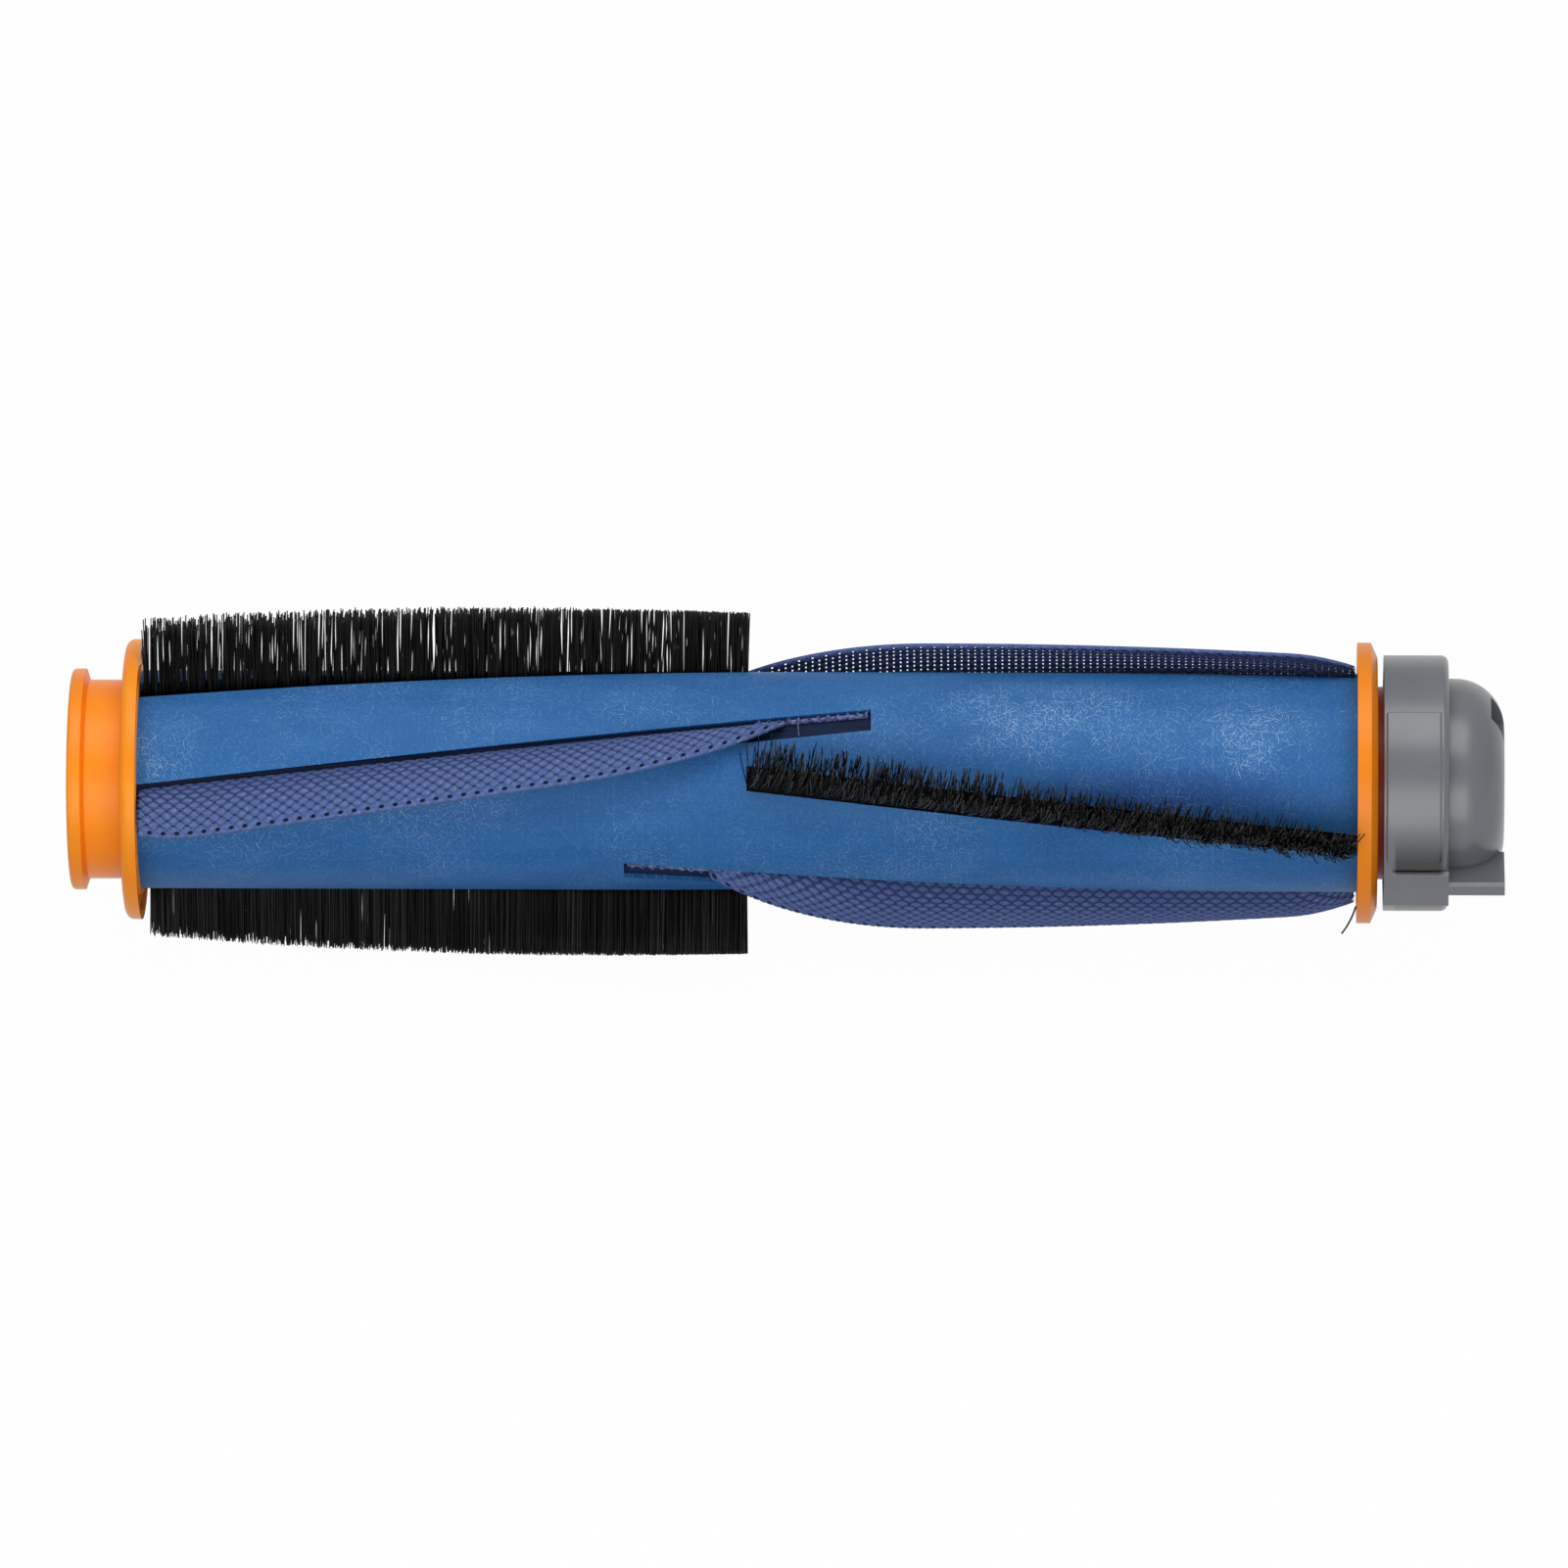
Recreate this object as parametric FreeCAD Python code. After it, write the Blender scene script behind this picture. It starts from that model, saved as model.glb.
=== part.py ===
import FreeCAD, Part
import math
import os

# Robot vacuum roller brush, in millimetres.
# X runs along the roller from the drive end's outer face, Z is up and the roller lies at rest.
# A roll angle is measured about the axis from the front (-Y) towards the top (+Z).

# Stations along the axis
rim_thickness = 1.9
rim_bevel = 0.5
groove_width = 5.2
drive_flange_thickness = 2.2
core_length = 169.7
hub_flange_thickness = 1.9
hub_flange_bevel = 0.9
cap_gap = 0.9
barrel_length = 9.0
dome_length = 7.8
drive_flange_start = rim_thickness + rim_bevel + groove_width
core_start = drive_flange_start + drive_flange_thickness
core_end = core_start + core_length
core_middle = (core_start + core_end) / 2
half_length = core_length / 2
hub_bevel_start = core_end + hub_flange_thickness
collar_start = hub_bevel_start + hub_flange_bevel
cap_start = collar_start + cap_gap
dome_start = cap_start + barrel_length
cap_end = dome_start + dome_length

# Core and its T-slots
core_radius = 15.25
core_bore_radius = 8.0
slot_mouth = 3.5
slot_lip = 1.6
slot_foot_depth = 2.0
slot_wall = 0.7
slot_pitch_angle = 25.6
flap_slot_overrun = 17.2
twist_angle = 36.5
strip_clearance = 0.1
cut_past_end = 1.0
slot_foot_top = core_radius - slot_lip
slot_floor = slot_foot_top - slot_foot_depth
slot_foot_width = 2 * slot_floor * math.tan(math.radians(slot_pitch_angle / 2)) - slot_wall
flap_slot_length = half_length + flap_slot_overrun

# Drive end: spool, flange, sockets, and the plugs whose keys carry the torque
flange_radius = 19.6
flange_rounding = 1.2
rim_radius = 15.45
rim_rounding = 0.6
neck_radius = 13.9
dish_wall = 1.0
dish_depth = 0.6
dish_inset = 0.8
plug_length = 12.0
plug_clearance = 0.05
plug_chamfer = 0.6
key_width = 3.0
key_height = 1.3
key_root = 1.5
key_length = 9.0
pilot_radius = 11.0
pilot_depth = 6.5
socket_width = 8.0
socket_depth = 9.0
plug_radius = core_bore_radius - plug_clearance

# Bearing end: flange, collar, shaft, bush and the ring that keeps the bush in the cap
hub_bevel_radius = 17.6
collar_radius = 13.45
collar_wall = 1.9
collar_length = 4.7
collar_recess = 4.0
nose_radius = 4.6
nose_length = 5.9
shaft_radius = 3.0
shaft_clearance = 0.01
shaft_seat_depth = 15.0
shaft_chamfer = 0.4
shaft_reach = 7.6
washer_thickness = 0.5
washer_radius = 4.4
washer_clearance = 0.05
bush_slide_clearance = 0.03
bush_wall = 1.6
bush_length = 6.0
bush_end_play = 0.05
spin_clearance = 0.05
retainer_thickness = 0.6
retainer_bite = 0.5
retainer_lap = 1.0
retainer_clearance = 0.08
retainer_lip = 0.6
retainer_gap = 2.4
nose_end = collar_start + nose_length
shaft_start = nose_end - shaft_seat_depth
shaft_end = nose_end + shaft_reach
bush_inner_radius = shaft_radius + bush_slide_clearance
bush_outer_radius = bush_inner_radius + bush_wall
bush_seat_radius = bush_outer_radius + spin_clearance

# Bearing cap: barrel, dome, bearing boss, side lugs with their tabs, and the notch in the dome
barrel_radius = 17.85
barrel_wall = 2.05
barrel_end_wall = 1.8
barrel_rounding = 1.0
dome_radius = 14.6
dome_shoulder = 6.8
dome_wall = 1.8
dome_end_wall = 3.0
boss_wall = 2.2
boss_gap = 0.25
boss_fillet = 1.3
shaft_pocket_clearance = 0.6
shaft_pocket_depth = 1.6
lug_rise = -4.1
lug_drop = -9.6
lug_web = 1.2
lug_rounding = 0.5
lug_root = 9.0
tab_thickness = 2.1
notch_width = 6.0
notch_depth = 1.9
notch_floor = 8.0
boss_start = nose_end + washer_thickness + boss_gap
boss_radius = bush_seat_radius + boss_wall
retainer_start = boss_start + retainer_lip
retainer_end = retainer_start + retainer_thickness + retainer_clearance
bush_start = retainer_end + bush_end_play
bush_end = bush_start + bush_length
bush_seat_end = bush_end + bush_end_play

# Strips: how the roller lies, where each one crosses the middle, and its section
rest_angle = 47.5
cap_turn_angle = 30.0
cap_roll = rest_angle - cap_turn_angle
twist_sign = {"drive": 1, "bearing": -1}
strips_per_half = 2
half_turn = 360 / strips_per_half / 2
bearing_row_angle = 1.4
bearing_roll = rest_angle + bearing_row_angle
drive_roll = bearing_roll + half_turn
bristle_roll = {"drive": drive_roll, "bearing": bearing_roll}
flap_roll = {"drive": bearing_roll + slot_pitch_angle, "bearing": drive_roll + slot_pitch_angle}
loft_stations = 7
bristle_thickness = 2.6
bristle_height = 9.15
bristle_tip_lean = 9.0
bristle_tip_spread = 7.0
bristle_slits = 28
slit_width = 0.8
slit_depth = 5.2
bead_height = 0.8
flap_height = 4.6
flap_tip_lean = -17.5
flap_knee = 1.9
flap_root_thickness = 2.2
flap_fold_thickness = 0.8
flap_overrun = 5.5
flap_taper = 30.0
flap_taper_reach = 0.12
flap_end_taper = 9.0
flap_end_reach = 0.45
flap_end_gap = 0.2
flap_bends = 4
flap_spans = 12
flap_tip_steps = 3
gap_spans = range(2, 11)
gaps_per_span = 3
gap_rows = (0.625, 0.875)
gap_length = 1.1
gap_width = 1.1
bead_top = slot_foot_top + bead_height
bristle_tip_radius = core_radius + bristle_height
flap_tip_radius = core_radius + flap_height
flap_length = half_length + flap_overrun - flap_end_gap


def at(x, roll, across, out):
    """Point at a station, across and out from the axis in a frame turned to a roll angle."""
    turn = math.radians(roll)
    y = across * math.sin(turn) - out * math.cos(turn)
    z = across * math.cos(turn) + out * math.sin(turn)
    return FreeCAD.Vector(x, y, z)


def polar(lean, radius):
    """Across and out of a point at a radius, leaning from the frame's own direction."""
    return radius * math.sin(math.radians(lean)), radius * math.cos(math.radians(lean))


def turned(profile):
    """Solid of revolution from (station, radius) points; a point of four numbers is reached by an arc."""
    edges = []
    last = profile[-1][-2:]
    for point in profile:
        start = FreeCAD.Vector(last[0], 0, last[1])
        end = FreeCAD.Vector(point[-2], 0, point[-1])
        if len(point) == 4:
            edges.append(Part.Arc(start, FreeCAD.Vector(point[0], 0, point[1]), end).toShape())
        else:
            edges.append(Part.makeLine(start, end))
        last = point[-2:]
    return Part.Face(Part.Wire(edges)).revolve(FreeCAD.Vector(), FreeCAD.Vector(1, 0, 0), 360)


def shoulder(x0, r0, x1, r1):
    """Convex quarter-round from one profile point to another, as an arc for turned."""
    quarter = math.sqrt(0.5)
    return x0 + (x1 - x0) * quarter, r1 + (r0 - r1) * quarter, x1, r1


def cylinder(radius, start, end):
    return Part.makeCylinder(radius, end - start, FreeCAD.Vector(start, 0, 0), FreeCAD.Vector(1, 0, 0))


def ring(outer, inner, start, end):
    return cylinder(outer, start, end).cut(cylinder(inner, start, end))


def circle_edges(shape, x, radius):
    """Circular edges of a shape at a station and radius."""
    circles = [e for e in shape.Edges if isinstance(e.Curve, Part.Circle)]
    near = FreeCAD.Vector(x, 0, 0)
    return [e for e in circles
            if abs(e.Curve.Radius - radius) < 1e-4 and e.Curve.Center.distanceToPoint(near) < 1e-4]


def block(x0, x1, across0, across1, out0, out1, roll):
    """Box between two stations, turned to a roll angle."""
    corners = [(across0, out0), (across1, out0), (across1, out1), (across0, out1), (across0, out0)]
    face = Part.Face(Part.makePolygon([at(x0, roll, a, o) for a, o in corners]))
    return face.extrude(FreeCAD.Vector(x1 - x0, 0, 0))


def inward(half, distance):
    """Station at a distance from a half's outer end, measured towards the middle."""
    return core_start + distance if half == "drive" else core_end - distance


def strip_roll(half, middle_roll, x):
    """Roll angle of a strip at a station: the two halves twist opposite ways from the middle."""
    return middle_roll + twist_sign[half] * twist_angle * (x - core_middle) / half_length


def helical(half, middle_roll, start, end, section):
    """Solid of one (across, out) section along a strip between two stations."""
    wires = []
    for i in range(loft_stations):
        x = start + (end - start) * i / (loft_stations - 1)
        points = [at(x, strip_roll(half, middle_roll, x), a, o) for a, o in section]
        wires.append(Part.makePolygon(points + points[:1]))
    return Part.makeLoft(wires, True)


def tee(stem, foot, floor, shoulder_height, top):
    """Upside-down T section: a wide foot below a narrower stem."""
    return [
        (-foot / 2, floor), (foot / 2, floor), (foot / 2, shoulder_height), (stem / 2, shoulder_height),
        (stem / 2, top), (-stem / 2, top), (-stem / 2, shoulder_height), (-foot / 2, shoulder_height),
    ]


def strips():
    """Name, half, and roll at the middle of the bristles and of the flap, for each pair of strips."""
    for half in twist_sign:
        for i in range(strips_per_half):
            turn = 360 * i / strips_per_half
            yield f"{half}_{i + 1}", half, bristle_roll[half] + turn, flap_roll[half] + turn


def keys(half, room=0):
    """The two torque keys of a plug or, with room round them, the keyways in the core."""
    side = key_width / 2 + room
    root = core_bore_radius - key_root
    top = core_bore_radius + key_height + room
    start, end = sorted((inward(half, 0), inward(half, key_length + room)))
    return [block(start, end, -side, side, root, top, roll) for roll in (0, 180)]


def make_core():
    core = ring(core_radius, core_bore_radius, core_start, core_end)
    slot = tee(slot_mouth, slot_foot_width, slot_floor, slot_foot_top, core_radius + cut_past_end)
    cuts = keys("drive", strip_clearance) + keys("bearing", strip_clearance)
    for _, half, bristle, flap in strips():
        outside = inward(half, -cut_past_end)
        cuts.append(helical(half, bristle, outside, core_middle, slot))
        cuts.append(helical(half, flap, outside, inward(half, flap_slot_length), slot))
    return core.cut(cuts)


def make_drive_end():
    plug_end = core_start + plug_length
    dish_floor = core_start - dish_depth
    dish_outer = flange_radius - dish_wall
    dish_inner = core_radius + dish_inset
    body = turned([
        (pilot_depth, 0), (pilot_depth, pilot_radius), (0, pilot_radius), (0, rim_radius),
        (rim_thickness, rim_radius), (rim_thickness + rim_bevel, neck_radius),
        (drive_flange_start, neck_radius), (drive_flange_start, flange_radius),
        (core_start, flange_radius), (core_start, dish_outer), (dish_floor, dish_outer),
        (dish_floor, dish_inner), (core_start, dish_inner), (core_start, plug_radius),
        (plug_end, plug_radius), (plug_end, 0),
    ])
    body = body.makeFillet(rim_rounding, circle_edges(body, 0, rim_radius))
    body = body.makeFillet(flange_rounding, circle_edges(body, drive_flange_start, flange_radius))
    body = body.makeChamfer(plug_chamfer, circle_edges(body, plug_end, plug_radius))
    side = socket_width / 2
    socket = block(pilot_depth, pilot_depth + socket_depth, -side, side, -side, side, 0)
    return body.fuse(keys("drive")).cut(socket)


def make_hub():
    plug_end = core_end - plug_length
    collar_end = collar_start + collar_length
    collar_inner = collar_radius - collar_wall
    recess = collar_end - collar_recess
    body = turned([
        (plug_end, 0), (plug_end, plug_radius), (core_end, plug_radius), (core_end, flange_radius),
        (hub_bevel_start, flange_radius), (collar_start, hub_bevel_radius),
        (collar_start, collar_radius), (collar_end, collar_radius), (collar_end, collar_inner),
        (recess, collar_inner), (recess, nose_radius), (nose_end, nose_radius), (nose_end, 0),
    ])
    body = body.makeChamfer(plug_chamfer, circle_edges(body, plug_end, plug_radius))
    return body.fuse(keys("bearing")).cut(cylinder(shaft_radius + shaft_clearance, shaft_start, nose_end))


def make_shaft():
    shaft = cylinder(shaft_radius, shaft_start, shaft_end)
    ends = circle_edges(shaft, shaft_start, shaft_radius) + circle_edges(shaft, shaft_end, shaft_radius)
    return shaft.makeChamfer(shaft_chamfer, ends)


def make_retainer():
    """Spring ring, open at one place so that it can be squeezed into its groove."""
    start = retainer_start + retainer_clearance / 2
    end = start + retainer_thickness
    outer = bush_seat_radius + retainer_bite - retainer_clearance
    gap = block(start, end, -retainer_gap / 2, retainer_gap / 2, 0, 2 * outer, cap_roll)
    return ring(outer, bush_outer_radius - retainer_lap, start, end).cut(gap)


def eased(shape):
    """Block with its outer long edges rounded."""
    outer = [e for e in shape.Edges
             if abs(e.Vertexes[0].Y - e.Vertexes[1].Y) + abs(e.Vertexes[0].Z - e.Vertexes[1].Z) < 1e-6
             and math.hypot(e.Vertexes[0].Y, e.Vertexes[0].Z) > barrel_radius]
    return shape.makeFillet(lug_rounding, outer)


def cap_side(out0, out1):
    """A lug on the barrel, its web at the mouth, and the tab that runs on along the dome."""
    tab_middle = (lug_rise + lug_drop) / 2
    tab_drop = tab_middle - tab_thickness / 2
    tab_rise = tab_middle + tab_thickness / 2
    lug = eased(block(cap_start, dome_start, lug_drop, lug_rise, out0, out1, cap_roll))
    tab = eased(block(cap_start + lug_web, cap_end, tab_drop, tab_rise, out0, out1, cap_roll))
    web = block(cap_start, cap_start + lug_web, lug_rise - lug_rounding, 0, out0, out1, cap_roll)
    return [lug, web, tab]


def make_cap():
    mouth = barrel_radius - barrel_wall
    web = dome_start - barrel_end_wall
    hollow_radius = dome_radius - dome_wall
    hollow_end = cap_end - dome_end_wall
    outside = turned([
        (cap_start, 0), (cap_start, barrel_radius), (dome_start - barrel_rounding, barrel_radius),
        shoulder(dome_start - barrel_rounding, barrel_radius, dome_start, barrel_radius - barrel_rounding),
        (dome_start, dome_radius), (cap_end - dome_shoulder, dome_radius),
        shoulder(cap_end - dome_shoulder, dome_radius, cap_end, dome_radius - dome_shoulder),
        (cap_end, 0),
    ])
    hollow = turned([
        (cap_start, 0), (cap_start, mouth), (web, mouth), (web, hollow_radius), (dome_start, hollow_radius),
        shoulder(dome_start, hollow_radius, hollow_end, boss_radius + boss_fillet),
        (hollow_end, boss_radius), (boss_start, boss_radius), (boss_start, 0),
    ])
    bores = [
        cylinder(bush_seat_radius, boss_start, bush_seat_end),
        cylinder(bush_seat_radius + retainer_bite, retainer_start, retainer_end),
        cylinder(shaft_radius + shaft_pocket_clearance, bush_seat_end, bush_seat_end + shaft_pocket_depth),
    ]
    notch = block(cap_end - notch_depth, cap_end, notch_floor, dome_radius,
                  -notch_width / 2, notch_width / 2, cap_roll)
    sides = cap_side(lug_root, barrel_radius) + cap_side(-barrel_radius, -lug_root)
    return outside.fuse(sides).cut([hollow, notch] + bores).removeSplitter()


def make_spine(half, roll):
    """Foot that a bristle strip is set in."""
    side = slot_foot_width / 2 - strip_clearance
    floor = slot_floor + strip_clearance
    top = slot_foot_top - strip_clearance
    section = [(-side, floor), (side, floor), (side, top), (-side, top)]
    start = inward(half, strip_clearance)
    end = inward(half, half_length - strip_clearance)
    return helical(half, roll, start, end, section)


def make_bristles(half, roll):
    """Row of filaments: straight in the slot's mouth, then leaning and fanning out to a trimmed edge."""
    start = inward(half, strip_clearance)
    end = inward(half, half_length - strip_clearance)
    side = bristle_thickness / 2
    section = [
        (-side, slot_foot_top), (side, slot_foot_top), (side, core_radius),
        polar(bristle_tip_lean + bristle_tip_spread / 2, bristle_tip_radius),
        polar(bristle_tip_lean - bristle_tip_spread / 2, bristle_tip_radius), (-side, core_radius),
    ]
    slits = []
    for i in range(bristle_slits):
        x = start + (end - start) * (i + 1) / (bristle_slits + 1)
        slits.append(make_slit(x, strip_roll(half, roll, x)))
    return helical(half, roll, start, end, section).cut(slits)


def make_slit(x, roll):
    """Wedge between two tufts, open at the tips."""
    far = bristle_tip_radius
    corners = [(x - slit_width / 2, far), (x + slit_width / 2, far), (x, far - slit_depth)]
    outline = [at(station, roll, -far / 2, out) for station, out in corners + corners[:1]]
    across = at(0, roll, far, 0)
    return Part.Face(Part.makePolygon(outline)).extrude(across)


def make_bead(half, roll):
    """Bead that a flap is sewn to, which runs on past the middle as far as its slot."""
    stem = slot_mouth - 2 * strip_clearance
    foot = slot_foot_width - 2 * strip_clearance
    section = tee(stem, foot, slot_floor + strip_clearance, slot_foot_top - strip_clearance, bead_top)
    return helical(half, roll, inward(half, strip_clearance),
                   inward(half, flap_slot_length - strip_clearance), section)


def flap_line(from_tip):
    """Root, knee and tip of the cloth at a distance from its inner tip: it rises slowly out of its slot."""
    inner = 1 - (1 - min(from_tip / flap_taper, 1)) ** 2
    outer = 1 - (1 - min((flap_length - from_tip) / flap_end_taper, 1)) ** 2
    reach = flap_taper_reach + (1 - flap_taper_reach) * inner
    reach *= flap_end_reach + (1 - flap_end_reach) * outer
    across, out = polar(flap_tip_lean, flap_tip_radius)
    root = FreeCAD.Vector(0, bead_top + strip_clearance, 0)
    knee = FreeCAD.Vector(0, core_radius + flap_knee * reach, 0)
    tip = FreeCAD.Vector(across * reach, core_radius + (out - core_radius) * reach, 0)
    return root, knee, tip


def flap_bend(root, knee, tip, t):
    """Point of the cloth's middle line, with the directions along it and through it."""
    point = root * (1 - t) ** 2 + knee * 2 * t * (1 - t) + tip * t ** 2
    along = ((knee - root) * (1 - t) + (tip - knee) * t).normalize()
    return point, along, FreeCAD.Vector(along.y, -along.x, 0)


def flap_place(half, roll, from_tip):
    """Station and roll angle of a flap at a distance from its inner tip."""
    x = inward(half, half_length + flap_overrun - from_tip)
    return x, strip_roll(half, roll, x)


def flap_section(half, roll, from_tip):
    """Closed outline of the folded cloth: out of the slot, over the knee and down to the fold."""
    line = flap_line(from_tip)
    upper, lower = [], []
    for i in range(flap_bends + 1):
        t = i / flap_bends
        point, along, through = flap_bend(*line, t)
        thickness = flap_root_thickness * (1 - t) + flap_fold_thickness * t
        upper.append(point + through * thickness / 2)
        lower.append(point - through * thickness / 2)
    fold = point + along * flap_fold_thickness / 2
    outline = upper + [fold] + lower[::-1]
    x, turn = flap_place(half, roll, from_tip)
    return Part.makePolygon([at(x, turn, p.x, p.y) for p in outline + outline[:1]])


def make_gap(half, roll, from_tip, t):
    """Opening between the threads, straight through the folded cloth."""
    point, along, through = flap_bend(*flap_line(from_tip), t)
    x, turn = flap_place(half, roll, from_tip)
    below = point - through * flap_root_thickness
    low = below - along * gap_width / 2
    high = below + along * gap_width / 2
    near = x - gap_length / 2
    far = x + gap_length / 2
    corners = [(near, low), (far, low), (far, high), (near, high)]
    outline = [at(station, turn, p.x, p.y) for station, p in corners + corners[:1]]
    deep = through * 2 * flap_root_thickness
    return Part.Face(Part.makePolygon(outline)).extrude(at(0, turn, deep.x, deep.y))


def make_flap(half, roll):
    """Folded mesh flap that tapers into its slot past the middle, with gaps where it stands high."""
    span = flap_length / flap_spans
    stations = [span * i / flap_tip_steps for i in range(flap_tip_steps)]
    stations += [span * (i + 1) for i in range(flap_spans)]
    flap = Part.makeLoft([flap_section(half, roll, station) for station in stations], True, True)
    gaps = []
    for i in gap_spans:
        for j in range(gaps_per_span):
            for row, t in enumerate(gap_rows):
                stagger = (2 * row + 1) / (2 * len(gap_rows))
                gaps.append(make_gap(half, roll, span * (i + (j + stagger) / gaps_per_span), t))
    return flap.cut(gaps)


def main():
    os.makedirs("parts", exist_ok=True)
    pieces = {
        "roller_core": make_core(),
        "drive_end_cap": make_drive_end(),
        "bearing_end_hub": make_hub(),
        "stub_shaft": make_shaft(),
        "thrust_washer": ring(washer_radius, shaft_radius + washer_clearance,
                              nose_end, nose_end + washer_thickness),
        "sleeve_bush": ring(bush_outer_radius, bush_inner_radius, bush_start, bush_end),
        "bush_retainer": make_retainer(),
        "bearing_cap": make_cap(),
    }
    for name, half, bristle, flap in strips():
        pieces[f"bristle_spine_{name}"] = make_spine(half, bristle)
        pieces[f"bristles_{name}"] = make_bristles(half, bristle)
        pieces[f"flap_bead_{name}"] = make_bead(half, flap)
        pieces[f"mesh_flap_{name}"] = make_flap(half, flap)
    for name, shape in pieces.items():
        shape.exportStep(f"parts/{name}.step")


main()
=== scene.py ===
# %% [markdown]
# # A robot vacuum's roller brush
# The brush is a hollow blue roller with T-shaped slots that wind round it, one way on the left half and the
# other way on the right. Black bristle strips and folded mesh flaps slide into the slots from the ends, and
# an orange end at each side keeps them there. The grey cap carries the bearing on which the roller spins.
# The hard parts come from the CAD frame as they are. Bristles, cloth, thread and one low panel are made here.

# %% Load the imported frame
import math

import bpy
from mathutils import Matrix, Vector


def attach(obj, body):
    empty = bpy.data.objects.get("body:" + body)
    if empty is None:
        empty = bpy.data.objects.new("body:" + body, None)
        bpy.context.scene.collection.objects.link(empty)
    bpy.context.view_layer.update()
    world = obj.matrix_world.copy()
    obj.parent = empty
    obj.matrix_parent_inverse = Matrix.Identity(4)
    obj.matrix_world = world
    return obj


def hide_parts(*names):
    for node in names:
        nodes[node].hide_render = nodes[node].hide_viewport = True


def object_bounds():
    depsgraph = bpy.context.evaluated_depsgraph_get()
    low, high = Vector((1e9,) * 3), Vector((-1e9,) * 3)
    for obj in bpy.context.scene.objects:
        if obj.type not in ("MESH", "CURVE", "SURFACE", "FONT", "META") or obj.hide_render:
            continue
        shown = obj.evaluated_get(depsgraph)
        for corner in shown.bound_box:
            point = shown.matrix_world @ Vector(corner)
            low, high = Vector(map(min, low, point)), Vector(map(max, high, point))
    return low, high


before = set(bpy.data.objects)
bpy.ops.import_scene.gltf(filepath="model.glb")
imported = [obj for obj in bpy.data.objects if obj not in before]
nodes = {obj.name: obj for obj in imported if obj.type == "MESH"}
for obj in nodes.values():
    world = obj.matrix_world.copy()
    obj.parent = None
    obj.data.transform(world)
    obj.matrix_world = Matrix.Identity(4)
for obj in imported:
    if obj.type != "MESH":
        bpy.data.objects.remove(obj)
scene = bpy.context.scene
cad_box = [list(corner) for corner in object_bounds()]
print("CAD nodes:", len(nodes), "box:", [[round(v, 4) for v in corner] for corner in cad_box])

# %% [markdown]
# ## Sizes
# Each strip follows one rule: it crosses the roller's middle at a roll angle and turns evenly from there.
# A strip can therefore be drawn flat, as station, across and out, and wrapped round the axis afterwards.
# That is easier to think about than a helix, and it is how the strips are made: straight, then slid in.

# %% Sizes that the strips share with the CAD source, in millimetres and degrees
MM = 0.001
core_start, core_end, core_radius = 9.8, 179.5, 15.25
core_middle = (core_start + core_end) / 2
half_length = (core_end - core_start) / 2
slot_foot_top, bead_top = 13.65, 14.45
flap_slot_length = half_length + 17.2
rest_angle, slot_pitch_angle, twist_angle = 47.5, 25.6, 36.5
twist_sign = {"drive": 1, "bearing": -1}
bristle_roll = {"drive": rest_angle + 91.4, "bearing": rest_angle + 1.4}
flap_roll = {"drive": bristle_roll["bearing"] + slot_pitch_angle,
             "bearing": bristle_roll["drive"] + slot_pitch_angle}


def strip_roll(half, middle_roll, x):
    """Roll angle of a strip at a station."""
    return middle_roll + twist_sign[half] * twist_angle * (x - core_middle) / half_length


def at(x, roll, across, out):
    """Point in metres at a station, across and out from the axis in a frame turned to a roll angle."""
    turn = math.radians(roll)
    y = across * math.sin(turn) - out * math.cos(turn)
    z = across * math.cos(turn) + out * math.sin(turn)
    return Vector((x, y, z)) * MM


def inward(half, distance):
    """Station at a distance from a half's outer end, measured towards the middle."""
    return core_start + distance if half == "drive" else core_end - distance


strips = [(f"{half}_{i + 1}", half, bristle_roll[half] + 180 * i, flap_roll[half] + 180 * i)
          for half in twist_sign for i in range(2)]
print("strips:", [name for name, *_ in strips])

# %% [markdown]
# ## Small helpers for node trees
# A material and a geometry tree are both wired from nodes. One helper adds a node, sets its options and fills
# its inputs with a number or with another node's output, so that each tree below reads as a list of steps.

# %% Helpers that add nodes


def add(tree, kind, put=(), **options):
    """New node, with its inputs filled by key and its options set by name."""
    made = tree.nodes.new(kind)
    for option, value in options.items():
        setattr(made, option, value)
    for key, value in dict(put).items():
        if isinstance(value, bpy.types.NodeSocket):
            tree.links.new(value, made.inputs[key])
        else:
            made.inputs[key].default_value = value
    return made


def wire(tree, kind, put=(), **options):
    """First output of a new node."""
    return add(tree, kind, put, **options).outputs[0]


def calc(tree, operation, *values):
    return wire(tree, "ShaderNodeMath", dict(enumerate(values)), operation=operation)


def times(tree, first, second):
    return calc(tree, "MULTIPLY", first, second)


def plus(tree, first, second):
    return calc(tree, "ADD", first, second)


def minus(tree, first, second):
    return calc(tree, "SUBTRACT", first, second)


def ease(tree, value, low, high, to_low=0.0, to_high=1.0):
    """Smooth step of a value from one range to another."""
    put = {"Value": value, "From Min": low, "From Max": high, "To Min": to_low, "To Max": to_high}
    return wire(tree, "ShaderNodeMapRange", put, interpolation_type="SMOOTHSTEP")


def parts(tree, vector):
    """The three numbers of a vector."""
    return add(tree, "ShaderNodeSeparateXYZ", {0: vector}).outputs


def joined(tree, x=0.0, y=0.0, z=0.0):
    """A vector from its three numbers."""
    return wire(tree, "ShaderNodeCombineXYZ", {0: x, 1: y, 2: z})


print("number helpers ready")

# %% Helpers for finishes


def tint(red, green, blue):
    """Linear colour for a colour as a picture shows it, 0 to 255."""
    return tuple(v / 12.92 if v <= 0.04045 else ((v + 0.055) / 1.055) ** 2.4
                 for v in (red / 255, green / 255, blue / 255)) + (1.0,)


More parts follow.
